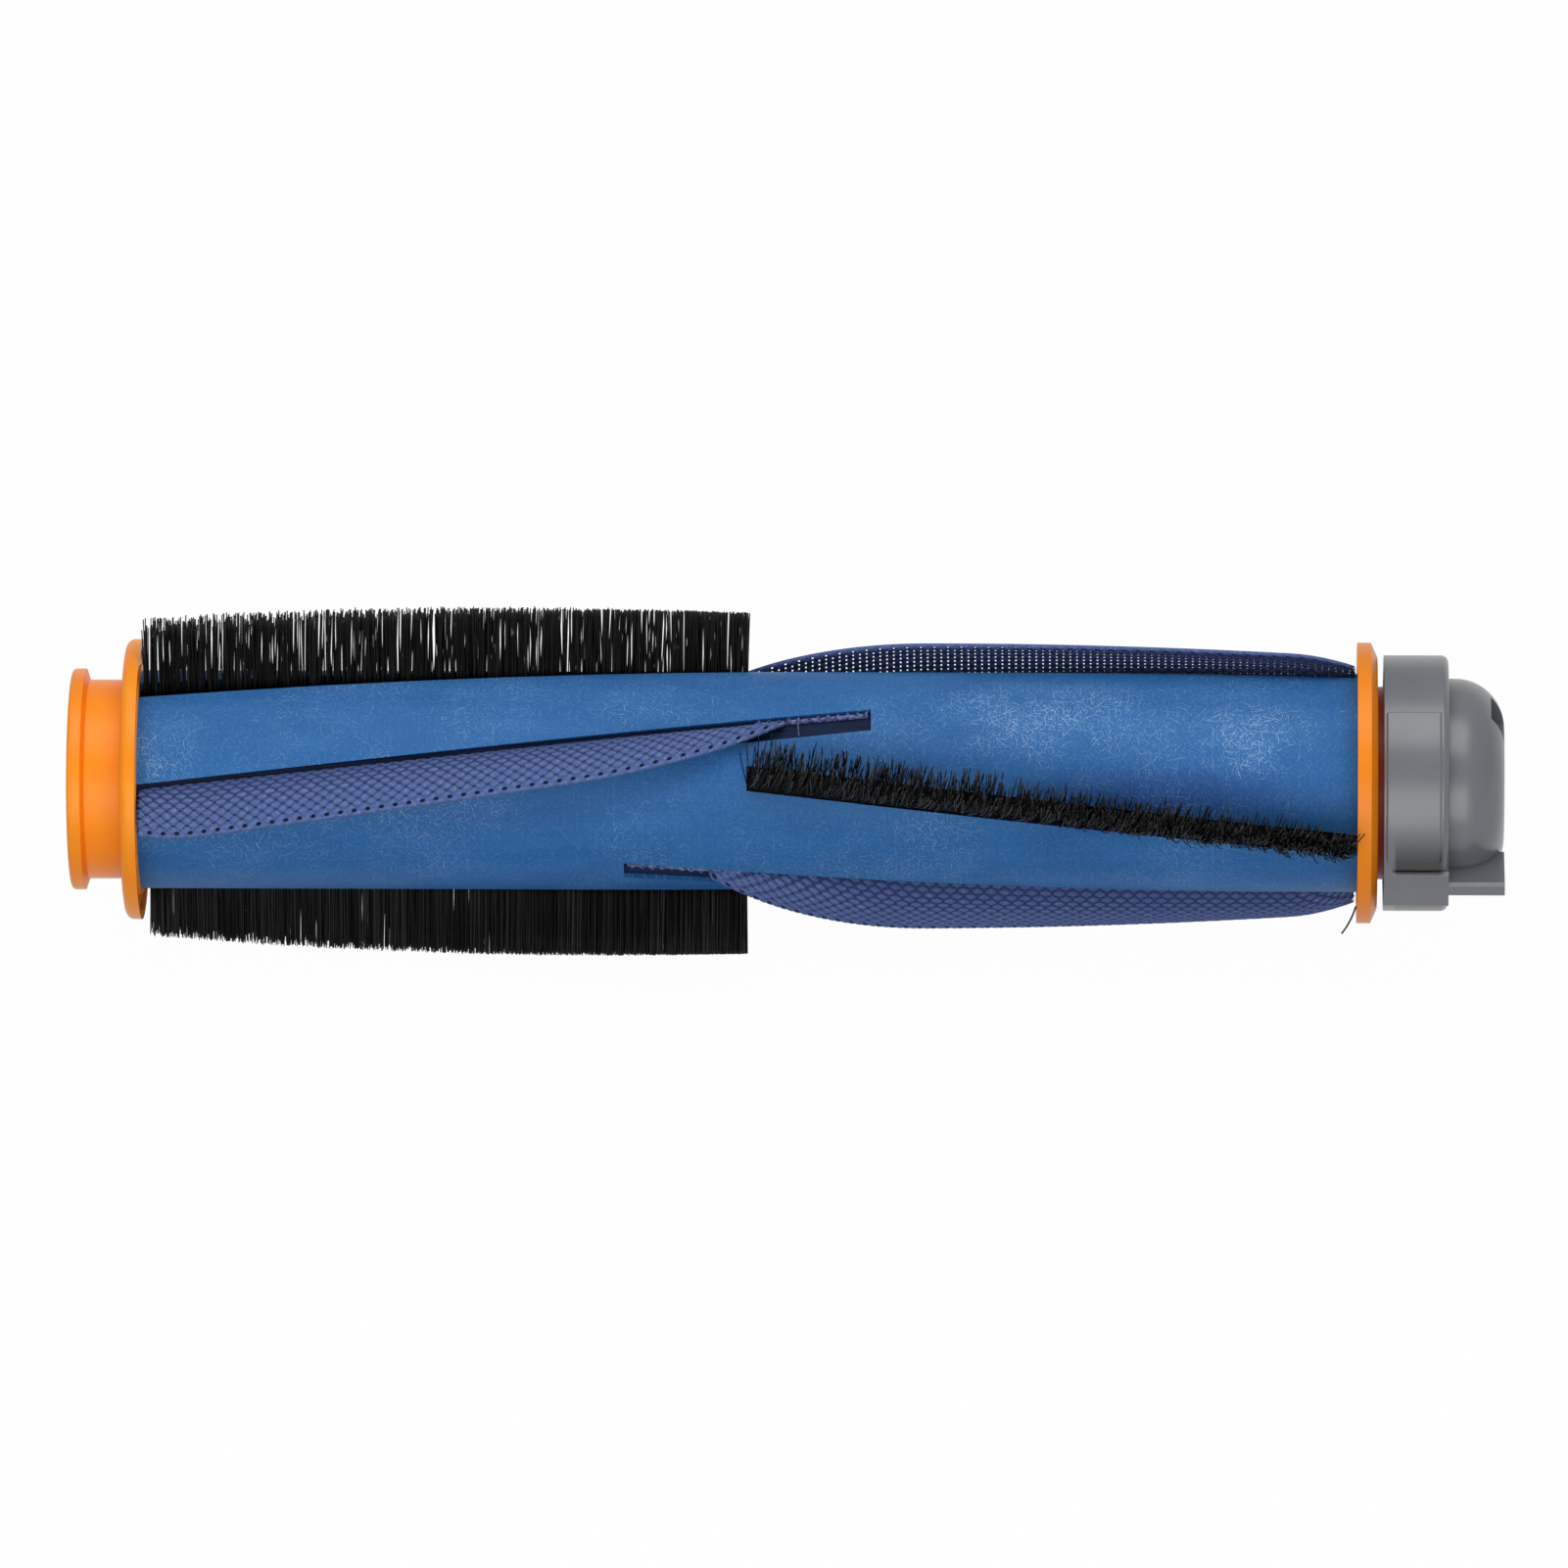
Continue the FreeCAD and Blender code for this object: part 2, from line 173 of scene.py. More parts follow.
def mixed(tree, factor, first, second):
    put = {0: factor, 6: first, 7: second}
    return add(tree, "ShaderNodeMix", put, data_type="RGBA").outputs[2]


def object_place(tree):
    return add(tree, "ShaderNodeTexCoord").outputs["Object"]


def noise(tree, vector, scale, detail=3.0, rough=0.55):
    put = {"Vector": vector, "Scale": scale, "Detail": detail, "Roughness": rough}
    return wire(tree, "ShaderNodeTexNoise", put)


def feed(tree, shader, **values):
    """Leads node outputs into a shader's sockets."""
    for socket, value in values.items():
        tree.links.new(value, shader.inputs[socket.replace("_", " ")])


def bumped(tree, shader, height, distance, strength=1.0):
    put = {"Height": height, "Distance": distance, "Strength": strength}
    feed(tree, shader, Normal=wire(tree, "ShaderNodeBump", put))


def new_finish(name, **sockets):
    """A material with its shader's constant values set, and its tree ready for more nodes."""
    material = bpy.data.materials.new(name)
    material.use_nodes = True
    shader = material.node_tree.nodes["Principled BSDF"]
    for socket, value in sockets.items():
        shader.inputs[socket.replace("_", " ")].default_value = value
    return material, material.node_tree, shader


def wear(material, *names):
    """Gives CAD nodes a finish."""
    for name in names:
        nodes[name].data.materials.clear()
        nodes[name].data.materials.append(material)
    print(material.name, "on", len(names), "CAD nodes")


print("finish helpers ready")

# %% [markdown]
# ## Camera
# The photograph was taken from well back with a long lens, so the roller hardly tapers. The camera looks down
# at the roller from the front, a little from the right. Its axes are set directly, because the roller also
# hangs a fraction of a degree in the frame.

# %% Camera
elevation, yaw, roll_in_frame = math.radians(47.5), math.radians(1.4), math.radians(0.183)
aim_station, aim_drop, camera_distance = 99.5, 0.4, 2.38
back = Vector((math.sin(yaw), -math.cos(elevation) * math.cos(yaw), math.sin(elevation) * math.cos(yaw)))
level = (Vector((1, 0, 0)) - back * back.x).normalized()
upright = back.cross(level)
right = level * math.cos(roll_in_frame) + upright * math.sin(roll_in_frame)
up = back.cross(right)
stand_point = Vector((aim_station, 0, 0)) * MM - up * aim_drop * MM + back * camera_distance
camera = bpy.data.objects.new("camera", bpy.data.cameras.new("camera"))
camera.data.lens, camera.data.sensor_width = 391, 36
camera.data.clip_start, camera.data.clip_end = 0.1, 20
camera.matrix_world = Matrix.Translation(stand_point) @ Matrix((right, up, back)).transposed().to_4x4()
scene.collection.objects.link(camera)
scene.camera = camera
print("camera at", [round(v, 3) for v in camera.location])

# %% [markdown]
# ## Blue core
# The core is an extruded polypropylene tube. Its colour is even, but handling has left it covered in short
# pale scratches in every direction, of four lengths and thickest in cloudy patches. A noise alone gives round
# blots, so each scratch is drawn: the surface is unrolled flat, a Voronoi texture gives every cell one random
# point, and a thin dash turned by the cell's random colour is drawn through that point.

# %% Scratches on an unrolled surface


def arc_at(roll):
    """Place of a roll angle on the unrolled surface, in millimetres."""
    return math.radians(roll - 90) * core_radius


def unrolled(tree):
    """Object coordinates, and the same as station and arc length round the axis."""
    place = object_place(tree)
    x, y, z = parts(tree, place)
    arc = times(tree, calc(tree, "ARCTAN2", y, z), core_radius * MM)
    return place, joined(tree, x, arc)


def stretched(tree, scale):
    """Object coordinates stretched so that a noise on them makes lines."""
    return wire(tree, "ShaderNodeMapping", {"Vector": object_place(tree), "Scale": scale})


def scratches(tree, flat, cell_size, length, width, shift):
    """Mask of one dash in each cell, with its own angle and strength. Sizes are in millimetres."""
    moved = wire(tree, "ShaderNodeVectorMath", {0: flat, 1: (shift, shift / 3, 0)})
    put = {"Vector": moved, "Scale": 1 / (cell_size * MM)}
    cells = add(tree, "ShaderNodeTexVoronoi", put, voronoi_dimensions="2D").outputs
    local = wire(tree, "ShaderNodeVectorMath", {0: moved, 1: cells["Position"]}, operation="SUBTRACT")
    angle_draw, strength_draw, _ = add(tree, "ShaderNodeSeparateColor", {0: cells["Color"]}).outputs
    put = {"Vector": local, "Angle": times(tree, angle_draw, math.pi)}
    x, y, _ = parts(tree, wire(tree, "ShaderNodeVectorRotate", put, rotation_type="Z_AXIS"))
    along = ease(tree, calc(tree, "ABSOLUTE", x), length * MM / 2, 0.0)
    aside = ease(tree, calc(tree, "ABSOLUTE", y), width * MM / 2, 0.0)
    return times(tree, times(tree, along, aside), strength_draw)


def patches(tree, flat, *places):
    """Soft patches on the core: station and roll of each middle, and its half sizes along and round."""
    total = 0.0
    for x, roll, half_along, half_round in places:
        put = {"Vector": flat, "Location": (-x / half_along, -arc_at(roll) / half_round, 0),
               "Scale": (1 / (half_along * MM), 1 / (half_round * MM), 1)}
        local = wire(tree, "ShaderNodeMapping", put)
        far = add(tree, "ShaderNodeVectorMath", {0: local}, operation="LENGTH").outputs["Value"]
        total = calc(tree, "MAXIMUM", total, ease(tree, far, 1.0, 0.2))
    return total


print("scratch helpers ready")

# %% Finish of the core
scratch_width = 0.085
scratch_kinds = ((0.45, 0.5, 0.0), (0.8, 1.4, 0.013), (1.3, 2.5, 0.031), (1.7, 3.2, 0.047))
core_blue, tree, shader = new_finish("core_blue", Specular_IOR_Level=0.2)
place, flat = unrolled(tree)
cloud = ease(tree, noise(tree, place, 55, 4.0, 0.6), 0.44, 0.7)
smear = ease(tree, noise(tree, stretched(tree, (60, 200, 200)), 1.0, 4.0, 0.6), 0.25, 0.75)
patch = patches(tree, flat, (136, 86, 22, 10), (165, 72, 12, 8), (12, 62, 4, 6))
patch = times(tree, patch, ease(tree, noise(tree, place, 160, 3.0), 0.3, 0.6))
# Painted shade: a dark band on the core along the right-hand bristle strip, where the bristles shade it.
painted_bristle_shade = patches(tree, flat, (152, 38, 28, 7))
rubbed = calc(tree, "MAXIMUM", times(tree, cloud, 0.4), patch)
dashes = 0.0
for cell_size, length, shift in scratch_kinds:
    dashes = plus(tree, dashes, scratches(tree, flat, cell_size, length, scratch_width, shift))
worn = times(tree, dashes, calc(tree, "MULTIPLY_ADD", rubbed, 1.8, 0.3))
base = mixed(tree, smear, tint(30, 90, 150), tint(40, 101, 162))
# The painted bristle shade darkens the base colour here.
base = mixed(tree, times(tree, painted_bristle_shade, 0.8), base, tint(18, 66, 132))
base = mixed(tree, times(tree, rubbed, 0.16), base, tint(96, 146, 194))
paleness = calc(tree, "MINIMUM", times(tree, worn, 0.7), 0.85)
feed(tree, shader, Base_Color=mixed(tree, paleness, base, tint(176, 203, 228)),
     Roughness=calc(tree, "MULTIPLY_ADD", worn, 0.1, 0.55))
bumped(tree, shader, minus(tree, noise(tree, place, 900, 2.0), dashes), 0.04 * MM, 0.35)
wear(core_blue, "roller_core")

# %% [markdown]
# ## Orange ends
# The two ends are moulded in a bright orange plastic that lets a little light in, so places in shade glow red
# rather than grey. A touch of subsurface scattering does that, and a fine noise gives the moulded skin its
# grain and its slightly uneven gloss. The right end is a deeper orange. Its collar beside the cap lies in
# shade, which is painted on it as a dark red.

# %% Finish of the orange ends
collar_start, collar_blend = core_end + 2.7, 0.3
end_orange, tree, shader = new_finish(
    "end_orange", Specular_IOR_Level=0.3, Subsurface_Weight=0.15,
    Subsurface_Radius=(1.0, 0.3, 0.05), Subsurface_Scale=0.0015)
place = object_place(tree)
flow = noise(tree, place, 90, 3.0)
skin = noise(tree, place, 2600, 2.0)
station, _, _ = parts(tree, place)
base = mixed(tree, ease(tree, flow, 0.3, 0.7), tint(246, 139, 6), tint(252, 150, 12))
base = mixed(tree, ease(tree, station, 50 * MM, 150 * MM, 0.0, 0.6), base, tint(226, 124, 6))
# Painted shade: from the collar's start the hub is coloured dark red, because the collar lies in shade beside
# the cap.
collar_shade = ease(tree, station, collar_start * MM, (collar_start + collar_blend) * MM)
feed(tree, shader, Base_Color=mixed(tree, collar_shade, base, tint(180, 58, 14)),
     Roughness=calc(tree, "MULTIPLY_ADD", flow, 0.16, 0.3))
bumped(tree, shader, skin, 0.03 * MM, 0.3)
wear(end_orange, "drive_end_cap", "bearing_end_hub")

# %% [markdown]
# ## Grey cap
# The cap is a moulded grey plastic with a fine spark-eroded grain. Small pale rubs show where it has been
# pushed into its bearing seat. The same scratch mask as on the core makes them, only much sparser. The deep
# corner above its side lug lies in shade, painted there nearly black, and a low panel stands on its barrel.
# The panel is an arched grid whose border dips under the barrel's skin, so its edges are bevelled and nothing
# gapes.

# %% Finish of the bearing cap
# Roll, station and radius limits of the painted shade in the deep corner above the side lug.
shade_rolls, shade_start, shade_end, shade_reach = (26, 7), (184.6, 184.9), (191.9, 191.0), 18.4
cap_grey, tree, shader = new_finish("cap_grey", Specular_IOR_Level=0.75)
place, flat = unrolled(tree)
flow = noise(tree, place, 70, 4.0)
skin = noise(tree, place, 3200, 2.0)
rubs = times(tree, scratches(tree, flat, 1.6, 1.3, 0.12, 0.007), ease(tree, flow, 0.5, 0.7))
base = mixed(tree, ease(tree, flow, 0.3, 0.7), tint(92, 95, 101), tint(100, 103, 109))
station, arc, _ = parts(tree, flat)
_, y, z = parts(tree, place)
radius = calc(tree, "SQRT", plus(tree, calc(tree, "POWER", y, 2.0), calc(tree, "POWER", z, 2.0)))
# Painted shade: the corner above the side lug is coloured nearly black, because it lies in shade.
corner = ease(tree, arc, *(arc_at(roll) * MM for roll in shade_rolls))
corner = times(tree, corner, calc(tree, "LESS_THAN", radius, shade_reach * MM))
for limits in (shade_start, shade_end):
    corner = times(tree, corner, ease(tree, station, *(x * MM for x in limits)))
base = mixed(tree, corner, base, tint(14, 15, 17))
feed(tree, shader, Base_Color=mixed(tree, times(tree, rubs, 0.35), base, tint(190, 192, 196)),
     Roughness=calc(tree, "MULTIPLY_ADD", skin, 0.12, 0.24))
bumped(tree, shader, skin, 0.03 * MM, 0.25)
wear(cap_grey, "bearing_cap")

# %% Raised panel on the cap's barrel
barrel_radius, panel_rise, panel_edge, panel_sink = 17.85, 0.32, 0.32, 0.05
panel_x, panel_roll, panel_steps = (183.4, 191.2), (9.0, 81.0), 48
edge_angle = math.degrees(panel_edge / barrel_radius)
first_roll, last_roll = panel_roll[0] + edge_angle, panel_roll[1] - edge_angle
stations = [panel_x[0], panel_x[0] + panel_edge, panel_x[1] - panel_edge, panel_x[1]]
inner_rolls = [first_roll + (last_roll - first_roll) * i / panel_steps for i in range(panel_steps + 1)]
rolls = [panel_roll[0], *inner_rolls, panel_roll[1]]
wide = len(rolls)
places = []
for i, x in enumerate(stations):
    for j, roll in enumerate(rolls):
        raised = 0 < i < len(stations) - 1 and 0 < j < wide - 1
        places.append(at(x, roll, 0, barrel_radius + (panel_rise if raised else -panel_sink)))
faces = [(i * wide + j, (i + 1) * wide + j, (i + 1) * wide + j + 1, i * wide + j + 1)
         for i in range(len(stations) - 1) for j in range(wide - 1)]
panel = bpy.data.objects.new("cap_panel", bpy.data.meshes.new("cap_panel"))
panel.data.from_pydata(places, [], faces)
panel.data.materials.append(cap_grey)
scene.collection.objects.link(panel)
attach(panel, "end_cap")
print("panel faces:", len(panel.data.polygons))

# %% [markdown]
# ## Metal and strip plastics
# The stub shaft is ground steel with fine marks that run round it, the bush is sintered bronze, and the beads
# and spines in the slots are extruded plastic with faint draw lines along them. Stretching a noise along the
# draw direction gives such lines without any drawing.

# %% Finishes of the small parts


def small_part(name, dark, light, lines, roughness, **sockets):
    """Finish between two tones, with marks drawn out along one direction."""
    material, tree, shader = new_finish(name, **sockets)
    mark = noise(tree, stretched(tree, lines), 1.0, 4.0)
    feed(tree, shader, Base_Color=mixed(tree, ease(tree, mark, 0.3, 0.7), tint(*dark), tint(*light)),
         Roughness=calc(tree, "MULTIPLY_ADD", mark, 0.25, roughness))
    bumped(tree, shader, mark, 0.03 * MM, 0.4)
    return material


steel = small_part(
    "steel", (170, 172, 176), (205, 206, 208), (4000, 150, 150), 0.2, Metallic=1.0)
bush_bronze = small_part(
    "bush_bronze", (150, 104, 62), (190, 140, 88), (2200, 900, 900), 0.35, Metallic=1.0)
strip_black = small_part(
    "strip_black", (7, 7, 9), (14, 14, 17), (60, 2500, 2500), 0.4, Specular_IOR_Level=0.15)
# Partly painted shade: the beads are navy, and their colour is darkened further to stand for the deep shade
# of the slot they sit in.
bead_darkened_navy = small_part(
    "bead_darkened_navy", (13, 22, 44), (24, 38, 72), (80, 3000, 3000), 0.4, Specular_IOR_Level=0.08)
wear(steel, "stub_shaft", "thrust_washer", "bush_retainer")
wear(bush_bronze, "sleeve_bush")
wear(strip_black, *[f"bristle_spine_{name}" for name, *_ in strips])
wear(bead_darkened_navy, *[f"flap_bead_{name}" for name, *_ in strips])

# %% [markdown]
# ## Wrapping a flat strip round the roller
# Bristles and stitches are laid out flat by Geometry Nodes: station along X, across along Y, out along Z.
# This group then turns every point about the axis by the roll angle of its station. Keeping it as a group of
# its own means that each tree can end with the same step.

# %% Helpers for geometry trees


def new_tree(name, **sockets):
    """Geometry tree with inputs named kind by kind, its input node's outputs and its output node."""
    tree = bpy.data.node_groups.new(name, "GeometryNodeTree")
    tree.is_modifier = True
    tree.interface.new_socket("Geometry", in_out="OUTPUT", socket_type="NodeSocketGeometry")
    for kind, names in {"Geometry": ("Geometry",), **sockets}.items():
        for socket in names:
            tree.interface.new_socket(socket, in_out="INPUT", socket_type="NodeSocket" + kind)
    return tree, tree.nodes.new("NodeGroupInput").outputs, tree.nodes.new("NodeGroupOutput")


def position(tree):
    return wire(tree, "GeometryNodeInputPosition")


def drawn(tree, low, high, seed):
    """Random number for each point."""
    put = {2: low, 3: high, 8: seed}
    return add(tree, "FunctionNodeRandomValue", put, data_type="FLOAT").outputs[1]


def stored(tree, geometry, name, value, kind="FLOAT"):
    """Geometry that keeps a value on its points under a name."""
    put = {"Geometry": geometry, "Name": name, "Value": value}
    return wire(tree, "GeometryNodeStoreNamedAttribute", put, data_type=kind, domain="POINT")


def recalled(tree, name, kind="FLOAT"):
    return wire(tree, "GeometryNodeInputNamedAttribute", {"Name": name}, data_type=kind)


def swept(tree, curve, radius, sides):
    """Tube along a curve, with closed ends."""
    profile = wire(tree, "GeometryNodeCurvePrimitiveCircle", {"Resolution": sides, "Radius": radius})
    put = {"Curve": curve, "Profile Curve": profile, "Fill Caps": True}
    return wire(tree, "GeometryNodeCurveToMesh", put)


def dressed(tree, geometry, given, result):
    """Ends a tree: gives the geometry its finish and leads it out."""
    done = wire(tree, "GeometryNodeSetMaterial", {"Geometry": geometry, "Material": given["Finish"]})
    tree.links.new(done, result.inputs[0])
    print(tree.name, "tree nodes:", len(tree.nodes))


def grown(name, tree, values, mesh=None):
    """Runs a geometry tree on a new object and keeps the result as a plain mesh."""
    piece = bpy.data.objects.new(name, mesh or bpy.data.meshes.new(name))
    scene.collection.objects.link(piece)
    modifier = piece.modifiers.new("grow", "NODES")
    modifier.node_group = tree
    for item in tree.interface.items_tree:
        if item.in_out == "INPUT" and item.name in values:
            modifier[item.identifier] = values[item.name]
    graph = bpy.context.evaluated_depsgraph_get()
    ready = piece.evaluated_get(graph)
    made = bpy.data.meshes.new_from_object(ready, preserve_all_data_layers=True, depsgraph=graph)
    piece.modifiers.clear()
    piece.data = made
    made.name = name
    print(name, "triangles:", sum(len(face.vertices) - 2 for face in made.polygons))
    return piece


print("tree helpers ready")

# %% Node group that wraps a flat strip
WRAP_INPUTS = ("Middle Roll", "Twist", "Middle")
wrap, given, result = new_tree("wrap on roller", Float=WRAP_INPUTS)
station, across, out = parts(wrap, position(wrap))
from_middle = minus(wrap, station, given["Middle"])
roll = calc(wrap, "MULTIPLY_ADD", from_middle, given["Twist"], given["Middle Roll"])
sine, cosine = calc(wrap, "SINE", roll), calc(wrap, "COSINE", roll)
y = minus(wrap, times(wrap, across, sine), times(wrap, out, cosine))
z = plus(wrap, times(wrap, across, cosine), times(wrap, out, sine))
put = {"Geometry": given["Geometry"], "Position": joined(wrap, station, y, z)}
wrap.links.new(wire(wrap, "GeometryNodeSetPosition", put), result.inputs[0])


def wrapped(tree, geometry, given):
    """Flat geometry laid round the axis by the group."""
    group = tree.nodes.new("GeometryNodeGroup")
    group.node_tree = wrap
    tree.links.new(geometry, group.inputs["Geometry"])
    for name in WRAP_INPUTS:
        tree.links.new(given[name], group.inputs[name])
    return group.outputs[0]


def wrap_values(half, middle_roll):
    """What the group needs to know of a strip."""
    twist = twist_sign[half] * math.radians(twist_angle) / (half_length * MM)
    return {"Middle Roll": math.radians(middle_roll), "Twist": twist, "Middle": core_middle * MM}


print("wrap group nodes:", len(wrap.nodes))

# %% [markdown]
# ## Bristles
# Each bristle strip is nylon filament, clamped in a spine and trimmed to one height. The filaments leave the
# slot close together and lean; each also slants a little, so that they cross and light shows between them
# only further out. One three-sided filament, nearly as thick at its trimmed tip as at its root, is instanced
# at random roots along the strip, and a slow noise along the strip pulls neighbouring tips together. Hair
# curves could do this too, but real meshes export.

# %% Finish of the bristles
bristle_black, tree, shader = new_finish("bristle_black", Specular_IOR_Level=0.15, Roughness=0.5)
# Painted highlights: some filaments, drawn at random, are lightened towards a grey glint, and the trimmed
# tips are paler where light catches them.
tone = add(tree, "ShaderNodeAttribute", attribute_name="tone").outputs["Fac"]
tip = add(tree, "ShaderNodeAttribute", attribute_name="along").outputs["Fac"]
shade = mixed(tree, calc(tree, "POWER", tone, 3.0), tint(3, 3, 4), tint(80, 78, 78))
tip_glint = ease(tree, tip, 0.93, 1.0, 0.0, 0.2)
feed(tree, shader, Base_Color=mixed(tree, tip_glint, shade, tint(70, 68, 66)))
print("bristle finish nodes:", len(tree.nodes))

# %% Geometry tree of a bristle strip
LOOK_LENGTHS = ("Length", "Lean", "Lean Gain", "Spread", "Raggedness", "Curl", "Bunching", "Rake",
                "Filament Radius")
bristle_tree, given, result = new_tree(
    "bristle strip", Int=("Count", "Seed"), Material=("Finish",),
    Float=("Start", "End", "Root Width", "Root Height", "Clump Scale", "Tilt", "Glint", *LOOK_LENGTHS,
           *WRAP_INPUTS))
tree = bristle_tree


def chance(low, high, step):
    """Random number for each filament; the step keeps one draw apart from the next."""
    return drawn(tree, low, high, plus(tree, given["Seed"], float(step)))


put = {0: chance(0.0, 1.0, 1), 3: given["Start"], 4: given["End"]}
x = wire(tree, "ShaderNodeMapRange", put)
share = chance(-0.5, 0.5, 2)
root = joined(tree, x, times(tree, share, given["Root Width"]), given["Root Height"])
points = wire(tree, "GeometryNodePoints", {"Count": given["Count"], "Position": root})
put = {"Vertices": 3, "Side Segments": 4, "Radius Top": 0.85, "Radius Bottom": 1.0, "Depth": 1.0}
_, _, height = parts(tree, position(tree))
filament = stored(tree, wire(tree, "GeometryNodeMeshCone", put), "along", height)

# %% Geometry tree of a bristle strip, bend and painted glint of each filament
station, across, _ = parts(tree, position(tree))
along_strip = joined(tree, station, times(tree, across, 0.2))
slow = {"Vector": along_strip, "Scale": given["Clump Scale"], "Detail": 1.5}
pull = minus(tree, wire(tree, "ShaderNodeTexNoise", slow), 0.5)
curl = times(tree, chance(-1.0, 1.0, 3), given["Curl"])
aside = plus(tree, times(tree, pull, given["Bunching"]), curl)
over = calc(tree, "MULTIPLY_ADD", chance(0.0, 1.0, 1), given["Lean Gain"], given["Lean"])
over = plus(tree, over, times(tree, share, given["Spread"]))
over = plus(tree, over, times(tree, chance(-1.0, 1.0, 4), given["Curl"]))
points = stored(tree, points, "aside", plus(tree, aside, given["Rake"]))
points = stored(tree, points, "over", over)
# How far the finish lightens each filament as a painted glint.
points = stored(tree, points, "tone", times(tree, chance(0.0, 1.0, 5), given["Glint"]))

# %% Geometry tree of a bristle strip, placing and bending
ragged = times(tree, calc(tree, "POWER", chance(0.0, 1.0, 6), 0.6), given["Raggedness"])
tall = minus(tree, given["Length"], ragged)
size = joined(tree, given["Filament Radius"], given["Filament Radius"], tall)
tip_over = times(tree, chance(-1.0, 1.0, 7), times(tree, given["Tilt"], 0.5))
tip_along = times(tree, chance(-1.0, 1.0, 8), given["Tilt"])
turns = [wire(tree, "FunctionNodeEulerToRotation", {0: angles})
         for angles in (joined(tree, tip_over, tip_along), joined(tree, z=chance(0.0, 6.28, 9)))]
turn = wire(tree, "FunctionNodeRotateRotation", dict(enumerate(turns)), rotation_space="LOCAL")
put = {"Points": points, "Instance": filament, "Rotation": turn, "Scale": size}
loose = wire(tree, "GeometryNodeRealizeInstances", {0: wire(tree, "GeometryNodeInstanceOnPoints", put)})
splay = calc(tree, "POWER", recalled(tree, "along"), 1.3)
bend = calc(tree, "POWER", recalled(tree, "along"), 2.0)
offset = joined(tree, times(tree, recalled(tree, "aside"), splay), times(tree, recalled(tree, "over"), bend))
bent = wire(tree, "GeometryNodeSetPosition", {"Geometry": loose, "Offset": offset})
smooth = wire(tree, "GeometryNodeSetShadeSmooth", {"Geometry": wrapped(tree, bent, given)})
dressed(tree, smooth, given, result)

# %% Grow the four bristle strips
root_width, inner_margin = 2.9, 0.3
# The Glint column sets, strip by strip, how far the painted glint may lighten a filament.
look_keys = ("Outer Margin", "Count", "Clump Scale", "Tilt", "Glint", *LOOK_LENGTHS)
looks = {
    "drive_1": (0.6, 1550, 1500.0, 2.8, 0.5, 10.1, 3.6, 0.0, 0.9, 0.3, 0.1, 0.5, 0.0, 0.115),
    "drive_2": (0.6, 4600, 2300.0, 0.9, 0.85, 10.6, 1.9, 0.0, 0.9, 0.15, 0.12, 0.42, 0.0, 0.085),
    "bearing_1": (1.5, 1900, 1500.0, 4.5, 1.0, 10.3, 2.9, 2.3, 2.4, 1.3, 0.8, 0.6, 1.0, 0.095),
    "bearing_2": (0.6, 3000, 2300.0, 1.0, 0.5, 10.3, 3.4, 0.0, 0.9, 0.5, 0.15, 0.6, 0.0, 0.08)}
for seed, (name, half, roll, _) in enumerate(strips):
    look = dict(zip(look_keys, looks[name]))
    start, end = sorted((inward(half, look["Outer Margin"]), inward(half, half_length - inner_margin)))
    look.update({key: look[key] * MM for key in LOOK_LENGTHS}, Tilt=math.radians(look["Tilt"]))
    piece = grown(f"bristle_tufts_{name}", bristle_tree, {
        **look, **wrap_values(half, roll), "Start": start * MM, "End": end * MM,
        "Root Width": root_width * MM, "Root Height": slot_foot_top * MM, "Seed": 40 + 10 * seed,
        "Finish": bristle_black})
    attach(piece, "roller")
    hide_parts(f"bristles_{name}")

# %% [markdown]
# ## Mesh flaps
# A flap is one piece of knitted mesh, folded along its length, with both edges sewn to the bead in the slot.
# Light shows through its holes, so the holes are real. First the folded sheet is built as a smooth surface
# whose UV map is the flat cloth. Then a flat net of small cells, each with a hole, is made by Geometry Nodes
# and carried onto the sheet by sampling it at the same UV. The holes keep their size round the fold.
#
# Each flap stands in its own way, so a row below gives its height as a share of the solid's, the share left
# at its outer end, its knee across and out, how fast its layers close, how thick its fold is, how far the
# under layer slips along, and how the cloth shifts across, evenly and along the strip. The top flap leans
# straight, and its shift sets the holes of both layers in line for the photograph's view, where light shows
# through.

# %% The folded sheet
CELL, ROW, CLOTH, GRAIN = 0.95, 0.68, 0.05, 0.1
COLUMNS, ROWS = 96, 31
CLOTH_HALF_WIDTH = ROWS * ROW / 2
flap_overrun, flap_end_gap = 5.5, 0.2
flap_length = half_length + flap_overrun - flap_end_gap
soft_knee, unshifted = (0.0, 2.5), (0.0, 0.0)
flap_set = {
    "drive_1": (1.0, 0.8, soft_knee, 1, 0.7, 0.7, unshifted),
    "drive_2": (1.0, 0.8, soft_knee, 1, 0.7, 0.7, unshifted),
    "bearing_1": (0.86, 0.45, (-1.5, 1.75), 5, 0.56, 0.0, (-0.058, -0.145)),
    "bearing_2": (1.08, 0.45, soft_knee, 1, 0.7, 0.7, unshifted)}
rise_length, fall_length, twist_length = 30, 9, 12
least_reach, tip_lean, tip_height = 0.04, math.radians(-17.5), 4.6
slot_lip, bead_gap, root_thickness, twist_thinning, cloth_inset = 0.9, 0.1, 2.2, 1.5, 0.2


